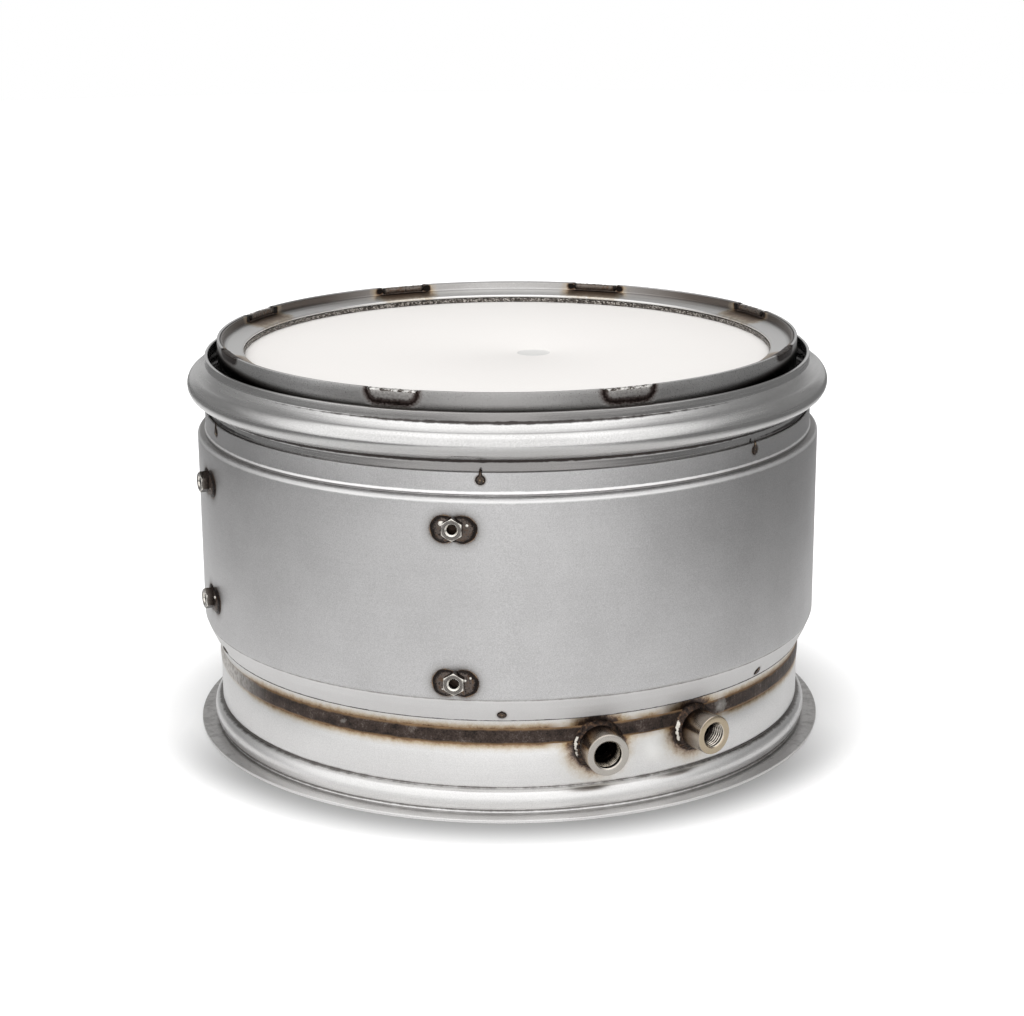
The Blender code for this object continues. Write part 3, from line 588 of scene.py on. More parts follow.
def turnedBungSteel():
    # Turned free-cutting stainless, straw to dark brown from the weld's heat, cleaner on its face.
    material, tree, ring, grain, wander = newFinish("turnedBungSteel", (0.5, 2.0, 0.6), (5, 3.0, 0.6))
    out, zone = (addNode(tree, "ShaderNodeAttribute", attribute_name=mark).outputs["Fac"]
                 for mark in ("out", "zone"))
    sway = addNode(tree, "ShaderNodeMath", [wander, 7 * mm, out], operation="MULTIPLY_ADD")
    side = addNode(tree, "ShaderNodeMath", [sway, 1 / (22 * mm)], operation="MULTIPLY")
    colour = addNode(tree, "ShaderNodeValToRGB", [side],
                     [(0.25, "#2A2320"), (0.42, "#5E534A"), (0.62, "#8A7F75"), (0.8, "#ADA499")]).outputs[0]
    # The bung beyond the seam's end took more heat.
    hot = addNode(tree, "ShaderNodeMapRange", {"Value": ring["angle"], "From Min": math.radians(24),
                                               "From Max": math.radians(28)})
    clean = addNode(tree, "ShaderNodeMix", {0: hot, 6: "#B4AFA8", 7: "#B3A58F"}, data_type="RGBA")
    colour = laid(tree, colour, clean.outputs[2], zone, 0.2, 0.5)
    bore = addNode(tree, "ShaderNodeMapRange", {"Value": zone, "From Min": 0.6, "From Max": 1.0})
    colour = addNode(tree, "ShaderNodeMix", {0: bore, 6: colour, 7: "#D6CFC4"}, data_type="RGBA").outputs[2]
    # Painted shade darkens the bore with depth.
    colour = laid(tree, colour, "#2A2522", out, bungLook["length"] - 6.0 * mm, bungLook["length"] - 9.5 * mm,
                  within=bore)
    # Dirt and painted shade in the thread roots.
    root = addNode(tree, "ShaderNodeAttribute", attribute_name="root").outputs["Fac"]
    colour = laid(tree, colour, "#1C1816", root, 0.25, 0.7)
    # Tool lines round the bung's own axis, half a millimetre apart.
    lines = addNode(tree, "ShaderNodeMath", [out, math.tau / (0.5 * mm)], operation="MULTIPLY")
    lines = addNode(tree, "ShaderNodeMath", [lines], operation="SINE")
    return closeFinish(material, colour, (grain, 0.16, 0.26), [(grain, 0.01 * mm), (lines, 0.003 * mm)])


def nutSteel():
    # Cold-formed weld nut, mid grey with bright worn edges and painted highlights on its mouth, painted shade down
    # its bore, and browned where it meets the puddle.
    material, tree, _, grain = newFinish("nutSteel", (0.9, 3.0, 0.65))
    out, worn = (addNode(tree, "ShaderNodeAttribute", attribute_name=mark).outputs["Fac"] for mark in ("out", "worn"))
    sway = addNode(tree, "ShaderNodeMath", [grain, 2.2 * mm, out], operation="MULTIPLY_ADD")
    side = addNode(tree, "ShaderNodeMath", [sway, 1 / (8 * mm)], operation="MULTIPLY")
    colour = addNode(tree, "ShaderNodeValToRGB", [side],
                     [(0.35, "#2C2623"), (0.6, "#544D48"), (0.75, "#6E6965"), (0.9, "#8B8884")]).outputs[0]
    # Worn edges and a painted highlight on the mouth's chamfer, then painted shade down the bore.
    edge = addNode(tree, "ShaderNodeMath", [grain, worn], operation="ADD")
    colour = laid(tree, colour, "#E2DED6", edge, 1.1, 1.35)
    colour = laid(tree, colour, "#0B0A09", worn, -0.3, -0.8)
    # Painted shade in the thread roots.
    root = addNode(tree, "ShaderNodeAttribute", attribute_name="root").outputs["Fac"]
    colour = laid(tree, colour, "#0F0D0C", root, 0.05, 0.3)
    return closeFinish(material, colour, 0.22, [(grain, 0.03 * mm)])


def wireSteel():
    # Compressed knitted wire, brown-grey from the heat with bright crowns.
    material, tree, _, grain = newFinish("knittedWire", (1.4, 3.0, 0.7))
    colour = addNode(tree, "ShaderNodeValToRGB", [grain],
                     [(0.36, "#5F5852"), (0.48, "#B5B0A9"), (0.58, "#F0EDE8")]).outputs[0]
    return closeFinish(material, colour, 0.36, [(grain, 0.05 * mm)])


def packedWireSteel(name, crown, side, pit):
    # The same wire packed so tight that only pits and crowns show.
    material, tree, ring = newFinish(name)
    knots = addNode(tree, "ShaderNodeTexVoronoi", {"Vector": ring["place"], "Scale": 1 / (1.1 * mm)})
    colour = addNode(tree, "ShaderNodeValToRGB", [knots], [(0.2, crown), (0.45, side), (0.8, pit)]).outputs[0]
    return closeFinish(material, colour, 0.5, [(knots, -0.3 * mm)], metallic=0.6)


brickShape = {"round": 0.6 * mm, "dimple": 9.2 * mm, "dimpleDepth": 0.7 * mm, "dimplePlace": (14.5 * mm, -10.5 * mm)}
brickLook = {"cell": 1.8 * mm, "white": "#F7F4F1", "plug": "#F4F1EE", "shade": "#ECE9E6", "pressed": "#DDDCDA"}


def filterCeramic():
    # Fired cordierite: chalky white, with the faintest grid of plugged channels.
    material, tree, ring, dust, cloud = newFinish("filterCeramic", (0.5, 3.0, 0.5), (60, 3.0, 0.5))
    place = ring["place"]
    checks = addNode(tree, "ShaderNodeTexChecker", {"Vector": place, "Scale": 1 / brickLook["cell"],
                                                    "Color1": brickLook["white"],
                                                    "Color2": brickLook["plug"]})
    colour = laid(tree, checks.outputs["Color"], brickLook["shade"], cloud, 0.3, 0.7, 0.12)
    # The pressed dimple is smoother and a little grey.
    spot = (*brickShape["dimplePlace"], brickTop)
    gap = addNode(tree, "ShaderNodeVectorMath", [place, spot], operation="DISTANCE").outputs["Value"]
    colour = laid(tree, colour, brickLook["pressed"], gap, brickShape["dimple"], brickShape["dimple"] - 0.5 * mm)
    return closeFinish(material, colour, 0.92, [(checks.outputs["Fac"], 0.02 * mm), (dust, 0.06 * mm)], metallic=0.0)


def needledFibre(name, pale, deep):
    # Needled ceramic fibre: soft off-white felt with short crossing hairs.
    material, tree, ring = newFinish(name)
    hair = addNode(tree, "ShaderNodeTexWave", {"Vector": ring["place"], "Scale": 1 / (4 * mm), "Distortion": 14.0,
                                               "Detail": 4.0})
    colour = addNode(tree, "ShaderNodeValToRGB", [hair], [(0.2, deep), (0.8, pale)]).outputs[0]
    return closeFinish(material, colour, 0.95, [(hair, 0.2 * mm)], metallic=0.0)


finishes = {
    "shell": blastedShellSteel(),
    "collar": spunCollarSteel(),
    "outlet": outletCollarSteel(),
    "can": canSheetSteel(),
    "ring": ringSheetSteel(),
    "seam": seamWeldOxide(),
    "bung": turnedBungSteel(),
    "nut": nutSteel(),
    "wire": wireSteel(),
    "packed": packedWireSteel("packedWire", "#C9C4BD", "#6B645E", "#231F1C"),
    # Painted shadow: a near-black wire for the spacer ring, which sits in the shaded gap.
    "paintedShadow": packedWireSteel("sootyWire", "#0C0B0A", "#080707", "#040303"),
    "brick": filterCeramic(),
    "mat": needledFibre("supportMatFibre", "#E6E3DA", "#C9C4B6"),
    "blanket": needledFibre("blanketFibre", "#E2DED2", "#BDB6A5"),
}
for kind in weldLook:
    finishes[kind] = weldMetal(kind)
print("finishes made:", len(finishes))


# Geometry node trees.

def newTree(name, **inputs):
    # Inputs are given by kind. Every tree also takes the finish that it sets.
    tree = bpy.data.node_groups.new(name, "GeometryNodeTree")
    for kind, labels in {"Geometry": ["Geometry"], **inputs, "Material": ["Finish"]}.items():
        for label in labels:
            tree.interface.new_socket(label, in_out="INPUT", socket_type="NodeSocket" + kind)
    tree.interface.new_socket("Geometry", in_out="OUTPUT", socket_type="NodeSocketGeometry")
    return tree, addNode(tree, "NodeGroupInput").outputs


def closeTree(tree, shape, finish):
    solid = addNode(tree, "GeometryNodeRealizeInstances", [shape])
    dressed = addNode(tree, "GeometryNodeSetMaterial", {"Geometry": solid, "Material": finish})
    addNode(tree, "NodeGroupOutput", [dressed])
    return tree


def ringTurner():
    # Turns a closed outline round Z. Each corner of the outline has its own fillet.
    tree, given = newTree("ringTurner", Float=["Path radius"], Int=["Segments", "Fillet steps"])
    outline = addNode(tree, "GeometryNodeMeshToCurve", [given["Geometry"]])
    corner = addNode(tree, "GeometryNodeInputNamedAttribute", {"Name": "fillet"}, data_type="FLOAT")
    rounded = addNode(tree, "GeometryNodeFilletCurve", {"Curve": outline, "Count": given["Fillet steps"],
                                                        "Radius": corner, "Limit Radius": True}, mode="POLY")
    back = addNode(tree, "ShaderNodeMath", [given["Path radius"], -1.0], operation="MULTIPLY")
    shift = addNode(tree, "ShaderNodeCombineXYZ", [back, 0.0, 0.0])
    centred = addNode(tree, "GeometryNodeTransform", {"Geometry": rounded, "Translation": shift,
                                                      "Scale": (1.0, -1.0, 1.0)})
    path = addNode(tree, "GeometryNodeCurvePrimitiveCircle", {"Resolution": given["Segments"],
                                                              "Radius": given["Path radius"]})
    skin = addNode(tree, "GeometryNodeCurveToMesh", {"Curve": path, "Profile Curve": centred})
    return closeTree(tree, skin, given["Finish"])


def weldRipples():
    # Raises overlapping scales along a weld run, and lumps over them. Marks say where each point lies.
    tree, given = newTree("weldRipples", Float=["Pitch", "Bow", "Scale depth", "Lump size", "Lump depth", "Seed"])
    along, across, lift = (addNode(tree, "GeometryNodeInputNamedAttribute", {"Name": mark}, data_type="FLOAT")
                           for mark in ("along", "across", "lift"))
    bow = addNode(tree, "ShaderNodeMath", [across, across], operation="MULTIPLY")
    bow = addNode(tree, "ShaderNodeMath", [bow, given["Bow"]], operation="MULTIPLY")
    phase = addNode(tree, "ShaderNodeMath", [along, given["Pitch"]], operation="DIVIDE")
    phase = addNode(tree, "ShaderNodeMath", [phase, bow], operation="SUBTRACT")
    scale = addNode(tree, "ShaderNodeMath", [phase, 0.5], operation="PINGPONG")
    scale = addNode(tree, "ShaderNodeMath", [scale, 0.6], operation="POWER")
    scale = addNode(tree, "ShaderNodeMath", [scale, given["Scale depth"]], operation="MULTIPLY")
    place = addNode(tree, "GeometryNodeInputPosition")
    size = addNode(tree, "ShaderNodeMath", [1.0, given["Lump size"]], operation="DIVIDE")
    lump = addNode(tree, "ShaderNodeTexNoise", {"Vector": place, "W": given["Seed"], "Scale": size,
                                                "Detail": 2.0, "Roughness": 0.55}, noise_dimensions="4D")
    lump = addNode(tree, "ShaderNodeMath", [lump, 0.5], operation="SUBTRACT")
    lump = addNode(tree, "ShaderNodeMath", [lump, given["Lump depth"], scale], operation="MULTIPLY_ADD")
    rise = addNode(tree, "ShaderNodeMath", [lump, lift], operation="MULTIPLY")
    out = addNode(tree, "GeometryNodeInputNormal")
    push = addNode(tree, "ShaderNodeVectorMath", {0: out, 3: rise}, operation="SCALE")
    rough = addNode(tree, "GeometryNodeSetPosition", {"Geometry": given["Geometry"], "Offset": push})
    return closeTree(tree, rough, given["Finish"])


def threadCutter():
    # Cuts a helical thread outwards wherever the mark "thread" gives a depth.
    tree, given = newTree("threadCutter", Float=["Pitch"])
    depth = addNode(tree, "GeometryNodeInputNamedAttribute", {"Name": "thread"}, data_type="FLOAT")
    place = addNode(tree, "GeometryNodeInputPosition")
    axes = addNode(tree, "ShaderNodeSeparateXYZ", [place]).outputs
    turn = addNode(tree, "ShaderNodeMath", [axes["Y"], axes["X"]], operation="ARCTAN2")
    turn = addNode(tree, "ShaderNodeMath", [turn, -0.5 / math.pi], operation="MULTIPLY")
    rise = addNode(tree, "ShaderNodeMath", [axes["Z"], given["Pitch"]], operation="DIVIDE")
    phase = addNode(tree, "ShaderNodeMath", [rise, turn], operation="ADD")
    flank = addNode(tree, "ShaderNodeMath", [phase, 0.5], operation="PINGPONG")
    flank = addNode(tree, "ShaderNodeMath", [flank, 2.0], operation="MULTIPLY")
    flank = addNode(tree, "ShaderNodeMath", [flank, depth], operation="MULTIPLY")
    share = addNode(tree, "ShaderNodeMath", [flank, 1 / (0.7 * mm)], operation="MULTIPLY")
    outward = addNode(tree, "ShaderNodeVectorMath", [place, (1, 1, 0)], operation="MULTIPLY")
    outward = addNode(tree, "ShaderNodeVectorMath", [outward], operation="NORMALIZE")
    push = addNode(tree, "ShaderNodeVectorMath", {0: outward, 3: flank}, operation="SCALE")
    # It marks the roots, where the finishes paint dirt and shade.
    marked = addNode(tree, "GeometryNodeStoreNamedAttribute", {"Geometry": given["Geometry"], "Name": "root",
                                                               "Value": share}, data_type="FLOAT", domain="POINT")
    cut = addNode(tree, "GeometryNodeSetPosition", {"Geometry": marked, "Offset": push})
    return closeTree(tree, cut, given["Finish"])


def stampedPieces():
    # Sets a copy of a finished piece on each mark.
    tree, given = newTree("stampedPieces", Object=["Piece"])
    source = addNode(tree, "GeometryNodeObjectInfo", {"Object": given["Piece"]})
    turn = addNode(tree, "GeometryNodeInputNamedAttribute", {"Name": "turn"}, data_type="FLOAT_VECTOR")
    marks = addNode(tree, "GeometryNodeInstanceOnPoints", {"Points": given["Geometry"],
                                                           "Instance": source.outputs["Geometry"], "Rotation": turn})
    return closeTree(tree, marks, given["Finish"])


wireLook = {"steps": 1560, "loops": 260, "rows": 4, "wire": 0.14 * mm, "swing": 0.5 * mm, "rowShift": 2.4,
            "mess": 1.6 * mm, "messSize": 2.5 * mm}


def wireLoops():
    # Rows of waved wire round the ring, each row out of step with the next, like pressed knitting.
    tree, given = newTree("wireLoops", Float=["Radius", "Height", "Row gap", "Loops", "Swing", "Wire"], Int=["Rows"])
    line = addNode(tree, "GeometryNodeCurvePrimitiveCircle", {"Resolution": wireLook["steps"],
                                                              "Radius": given["Radius"]})
    step = addNode(tree, "ShaderNodeCombineXYZ", [0.0, 0.0, given["Row gap"]])
    base = addNode(tree, "ShaderNodeCombineXYZ", [0.0, 0.0, given["Height"]])
    levels = addNode(tree, "GeometryNodeMeshLine", {"Count": given["Rows"], "Offset": step, "Start Location": base},
                     mode="OFFSET")
    rows = addNode(tree, "GeometryNodeInstanceOnPoints", {"Points": levels, "Instance": line})
    rows = addNode(tree, "GeometryNodeRealizeInstances", [rows])
    place = addNode(tree, "GeometryNodeInputPosition")
    axes = addNode(tree, "ShaderNodeSeparateXYZ", [place]).outputs
    angle = addNode(tree, "ShaderNodeMath", [axes["X"], axes["Y"]], operation="ARCTAN2")
    phase = addNode(tree, "ShaderNodeMath", [axes["Z"], given["Height"]], operation="SUBTRACT")
    phase = addNode(tree, "ShaderNodeMath", [phase, given["Row gap"]], operation="DIVIDE")
    phase = addNode(tree, "ShaderNodeMath", [phase, wireLook["rowShift"]], operation="MULTIPLY")
    wave = addNode(tree, "ShaderNodeMath", [angle, given["Loops"], phase], operation="MULTIPLY_ADD")
    rise = addNode(tree, "ShaderNodeMath", [wave], operation="SINE")
    rise = addNode(tree, "ShaderNodeMath", [rise, given["Swing"]], operation="MULTIPLY")
    ripple = addNode(tree, "ShaderNodeMath", [wave, 2.0], operation="MULTIPLY")
    ripple = addNode(tree, "ShaderNodeMath", [ripple], operation="COSINE")
    ripple = addNode(tree, "ShaderNodeMath", [ripple, given["Wire"]], operation="MULTIPLY")
    mess = addNode(tree, "ShaderNodeTexNoise", {"Vector": place, "Scale": 1 / wireLook["messSize"],
                                                "Detail": 2.0})
    mess = addNode(tree, "ShaderNodeMath", [mess, 0.5], operation="SUBTRACT")
    mess = addNode(tree, "ShaderNodeMath", [mess, wireLook["mess"]], operation="MULTIPLY")
    rise = addNode(tree, "ShaderNodeMath", [rise, mess], operation="ADD")
    outward = addNode(tree, "ShaderNodeVectorMath", [place, (1, 1, 0)], operation="MULTIPLY")
    outward = addNode(tree, "ShaderNodeVectorMath", [outward], operation="NORMALIZE")
    swell = addNode(tree, "ShaderNodeVectorMath", {0: outward, 3: ripple}, operation="SCALE")
    lift = addNode(tree, "ShaderNodeCombineXYZ", [0.0, 0.0, rise])
    move = addNode(tree, "ShaderNodeVectorMath", [swell, lift], operation="ADD")
    waved = addNode(tree, "GeometryNodeSetPosition", {"Geometry": rows, "Offset": move})
    section = addNode(tree, "GeometryNodeCurvePrimitiveCircle", {"Resolution": 3, "Radius": given["Wire"]})
    wires = addNode(tree, "GeometryNodeCurveToMesh", {"Curve": waved, "Profile Curve": section})
    return closeTree(tree, wires, given["Finish"])


trees = {"turner": ringTurner(), "ripples": weldRipples(), "threads": threadCutter(),
         "stamp": stampedPieces(), "wires": wireLoops()}


def runTree(piece, tree, values):
    # Runs a tree once and keeps its result as a plain mesh under the same name.
    modifier = piece.modifiers.new(tree.name, "NODES")
    modifier.node_group = tree
    sockets = {item.name: item.identifier for item in tree.interface.items_tree if item.in_out == "INPUT"}
    for label, value in values.items():
        modifier[sockets[label]] = value
    ready = piece.evaluated_get(bpy.context.evaluated_depsgraph_get())
    mesh = bpy.data.meshes.new_from_object(ready)
    piece.modifiers.clear()
    piece.data = mesh
    mesh.name = piece.name
    return piece


def newPiece(name, mesh):
    piece = bpy.data.objects.new(name, mesh)
    bpy.context.scene.collection.objects.link(piece)
    return piece


def pieceOf(name, shape):
    # A piece from a bmesh, which is freed.
    mesh = bpy.data.meshes.new(name)
    shape.to_mesh(mesh)
    shape.free()
    return newPiece(name, mesh)


def closeMesh(piece, bend=35):
    # Merges doubles, turns the faces outwards and keeps crisp edges crisp.
    shape = bmesh.new()
    shape.from_mesh(piece.data)
    bmesh.ops.remove_doubles(shape, verts=shape.verts[:], dist=0.002 * mm)
    bmesh.ops.recalc_face_normals(shape, faces=shape.faces[:])
    if shape.calc_volume(signed=True) < 0:
        bmesh.ops.reverse_faces(shape, faces=shape.faces[:])
    shape.to_mesh(piece.data)
    shape.free()
    piece.data.shade_smooth()
    piece.data.set_sharp_from_angle(angle=math.radians(bend))
    return piece


def dressNode(name, finish):
    # A node that stays as the CAD has it, with a finish on it.
    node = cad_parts[name]
    node.data.materials.clear()
    node.data.materials.append(finishes[finish])


def settle(piece, slot, *nodes):
    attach(piece, "root")
    if nodes:
        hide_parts(*nodes)
    return piece


def turned(name, outline, finish, segments=384, fillet=4):
    # Outline points are (radius, height) or (radius, height, fillet), in metres.
    mesh = bpy.data.meshes.new(name)
    count = len(outline)
    mesh.from_pydata([(p[0], p[1], 0.0) for p in outline], [(i, (i + 1) % count) for i in range(count)], [])
    corner = mesh.attributes.new("fillet", "FLOAT", "POINT")
    corner.data.foreach_set("value", [p[2] if len(p) > 2 else 0.0 for p in outline])
    piece = newPiece(name, mesh)
    runTree(piece, trees["turner"], {"Path radius": 0.1, "Segments": segments, "Fillet steps": fillet,
                                     "Finish": finishes[finish]})
    return closeMesh(piece)


def ovalArc(centre, reach, halfHeight, start, stop, step=6):
    count = max(2, round(abs(stop - start) / step))
    turns = [math.radians(start + (stop - start) * i / count) for i in range(count + 1)]
    return [(centre[0] + reach * math.cos(t), centre[1] + halfHeight * math.sin(t)) for t in turns]


# Inner can, with its rim melted down under each stitch.

canLook = {"round": 0.25 * mm, "stitchHalf": 13.7 * mm, "melt": 1.0 * mm}


def meltRims(piece, melt):
    half = canLook["stitchHalf"] / canRadius
    for corner in piece.data.vertices:
        turn = math.atan2(corner.co.x, -corner.co.y)
        nearest = min(abs((turn - math.radians(a) + math.pi) % math.tau - math.pi) for a in stitchAngles)
        share = min(1.0, max(0.0, (half - nearest) * canRadius / (1.2 * mm)))
        if corner.co.z > rimTop - 2 * mm:
            corner.co.z -= share * melt
        elif corner.co.z < canBottom + 2 * mm:
            corner.co.z += share * melt


def makeInnerCan():
    look = canLook
    soft = look["round"]
    outline = [(canRadius, rimTop, soft), (canRadius, rimTop - 4 * mm), (canRadius, canBottom + 4 * mm),
               (canRadius, canBottom, soft), (canInner, canBottom, soft), (canInner, canBottom + 4 * mm),
               (canInner, rimTop - 4 * mm), (canInner, rimTop, soft)]
    can = turned("innerCan", outline, "can", 720)
    meltRims(can, look["melt"])
    settle(can, "can_steel", "inner_can")


# Retaining rings and the knitted wire under them.

ringLook = {"wall": 1.2 * mm, "setBack": 0.4 * mm, "flangeDrop": 5.9 * mm, "reach": 12.4 * mm, "curl": 0.7 * mm,
            "melt": 0.9 * mm, "slope": 1.7 * mm}


def endOutline(points, top):
    if top:
        return [(p[0], rimTop - p[1], *p[2:]) for p in points]
    return [(p[0], canBottom + p[1], *p[2:]) for p in reversed(points)]


def makeEndRing(end, top):
    look = ringLook
    low = look["flangeDrop"] + look["wall"]
    inner = legRadius - look["wall"]
    lip = legRadius - look["reach"]
    outline = [(legRadius, look["setBack"], 0.2 * mm), (legRadius, low - look["slope"], 2.2 * mm),
               (lip + 2.0 * mm, low, 0.6 * mm), (lip + 0.9 * mm, low + look["curl"], 0.5 * mm),
               (lip, low + look["curl"], 0.5 * mm), (lip, look["flangeDrop"] + 0.5 * mm, 0.9 * mm),
               (lip + 1.6 * mm, look["flangeDrop"], 0.6 * mm),
               (inner, look["flangeDrop"] - look["slope"], 1.0 * mm), (inner, look["setBack"], 0.2 * mm)]
    ring = turned(f"{end}RetainingRing", endOutline(outline, top), "ring", 720, 5)
    meltRims(ring, look["melt"])
    settle(ring, "can_steel", f"{end}_retaining_ring")

    meshNode = f"{end}_mesh_ring"
    low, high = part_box(meshNode)
    dressNode(meshNode, "packed")
    seed = newPiece(f"{end}WireLoops", bpy.data.meshes.new(f"{end}WireLoops"))
    rows = wireLook["rows"]
    gap = (high.z - low.z) / rows
    runTree(seed, trees["wires"], {"Radius": legRadius - look["reach"] - 0.25 * mm, "Height": low.z + 0.5 * gap,
                                   "Row gap": gap, "Rows": rows, "Loops": float(wireLook["loops"]),
                                   "Swing": wireLook["swing"], "Wire": wireLook["wire"],
                                   "Finish": finishes["wire"]})
    seed.data.shade_smooth()
    settle(seed, "knitted_wire")


# Inlet collar: lip, concave ledge, rolled bead, undercut and skirt.

inletCollarLook = {"wall": 1.8 * mm, "lip": 4.4 * mm, "beadOut": 3.6 * mm, "beadDrop": 15.1 * mm,
                   "beadHalf": 6.9 * mm}


def makeInletCollar():
    look = inletCollarLook
    wall = look["wall"]
    foot = lipTop - look["lip"]
    centre = (lipRadius + look["beadOut"], lipTop - look["beadDrop"])
    reach = beadRadius - centre[0]
    hem = centre[1] - look["beadHalf"]
    outline = [(lipRadius, lipTop, 0.35 * mm), (lipRadius, foot, 0.5 * mm),
               (lipRadius + 2.3 * mm, foot - 1.9 * mm, 1.0 * mm), (centre[0] - 0.3 * mm, foot - 2.6 * mm, 0.5 * mm)]
    outline += ovalArc(centre, reach, look["beadHalf"], 74, -72)
    outline += [(centre[0] + 1.0 * mm, hem - 0.05 * mm, 0.3 * mm), (centre[0] - 0.4 * mm, hem + 0.9 * mm, 0.4 * mm),
                (lipRadius + 1.2 * mm, hem + 1.1 * mm, 0.6 * mm), (skirtRadius + 0.5 * mm, hem - 1.4 * mm, 0.8 * mm),
                (skirtRadius, hem - 3.4 * mm, 1.0 * mm), (skirtRadius, skirtBottom, 0.3 * mm),
                (skirtRadius - wall, skirtBottom, 0.3 * mm), (skirtRadius - wall, hem + 1.2 * mm, 1.0 * mm)]
    outline += ovalArc(centre, reach - wall, look["beadHalf"] - wall, -40, 40, 10)
    outline += [(centre[0], foot - 2.6 * mm - 1.4 * wall, 0.5 * mm), (lipRadius - wall, foot - 1.2 * mm, 1.0 * mm),
                (lipRadius - wall, lipTop, 0.35 * mm)]
    settle(turned("inletCollar", outline, "collar", 512), "collar_steel", "inlet_collar")


# Heat shell: neck, rolled crease, shoulder, straight body and cone.

shellLook = {"wall": 1.2 * mm, "neck": 8.7 * mm, "shoulder": 9.7 * mm, "crease": 12.8 * mm, "roll": 4.3 * mm}


def makeHeatShell():
    look = shellLook
    wall = look["wall"]
    neckLow = neckTop - look["neck"]
    bodyTop = neckLow - look["shoulder"]
    crease = shellBottom + look["crease"]
    bodyLow = crease + look["roll"]
    outer = [(neckRadius, neckTop, 0.3 * mm), (neckRadius, neckLow - 1.0 * mm, 0.3 * mm),
             (neckRadius + 0.7 * mm, neckLow - 1.9 * mm, 0.2 * mm),
             (neckRadius + 0.65 * mm, neckLow - 2.2 * mm, 0.15 * mm),
             (neckRadius + 0.1 * mm, neckLow - 2.5 * mm, 0.2 * mm),
             (neckRadius + 0.2 * mm, neckLow - 3.1 * mm, 0.3 * mm),
             (bodyRadius - 1.5 * mm, neckLow - 3.5 * mm, 0.6 * mm),
             (bodyRadius, neckLow - 4.9 * mm, 1.4 * mm), (bodyRadius, bodyTop - 6 * mm),
             (bodyRadius, bodyLow + 3 * mm), (bodyRadius, crease + 1.2 * mm, 2.0 * mm),
             (bodyRadius - 0.55 * mm, crease + 0.15 * mm, 0.15 * mm),
             (bodyRadius - 0.6 * mm, crease - 0.3 * mm, 0.3 * mm),
             (*coneBend, 4.0 * mm), (coneFoot, shellBottom, 0.25 * mm)]
    inner = [(coneFoot - wall, shellBottom, 0.25 * mm), (coneBend[0] - wall, coneBend[1] + 0.4 * mm, 2.0 * mm),
             (bodyRadius - 1.4 * wall, crease + 0.3 * wall, 1.0 * mm), (bodyRadius - wall, bodyLow, 1.0 * mm),
             (bodyRadius - wall, bodyTop, 2.0 * mm), (bodyRadius - 2.2 * wall, neckLow - 4.6 * mm, 1.0 * mm),
             (neckRadius - wall, neckLow - 3.4 * mm, 1.0 * mm), (neckRadius - wall, neckTop, 0.3 * mm)]
    settle(turned("heatShell", outer + inner, "shell", 512, 5), "shell_steel", "outer_shell")


# Outlet sleeve, seam weld and outlet collar.

outletLook = {"wall": 1.8 * mm, "seamHalf": 4.25 * mm, "root": 0.6 * mm, "crown": 0.4 * mm, "bevel": 0.6 * mm,
              "beadHeight": 8.0 * mm, "beadOut": 0.4 * mm, "beadReach": 4.1 * mm, "beadHalf": 5.6 * mm,
              "flange": 1.8 * mm}


def boreAtBungs(piece):
    # The gas ports under both bungs, cut through the ring's wall.
    for name, angle in bungAngles.items():
        radius = bungLook[name]["hole"]
        shape = bmesh.new()
        bmesh.ops.create_cone(shape, cap_ends=True, segments=64, radius1=radius, radius2=radius, depth=16 * mm)
        port = standOut(pieceOf("port", shape), angle, sleeveRadius, bungHeight)
        cut = piece.modifiers.new("port", "BOOLEAN")
        cut.operation = "DIFFERENCE"
        cut.solver = "EXACT"
        cut.object = port
        ready = piece.evaluated_get(bpy.context.evaluated_depsgraph_get())
        piece.data = bpy.data.meshes.new_from_object(ready)
        piece.modifiers.clear()
        bpy.data.objects.remove(port)
    closeMesh(piece)


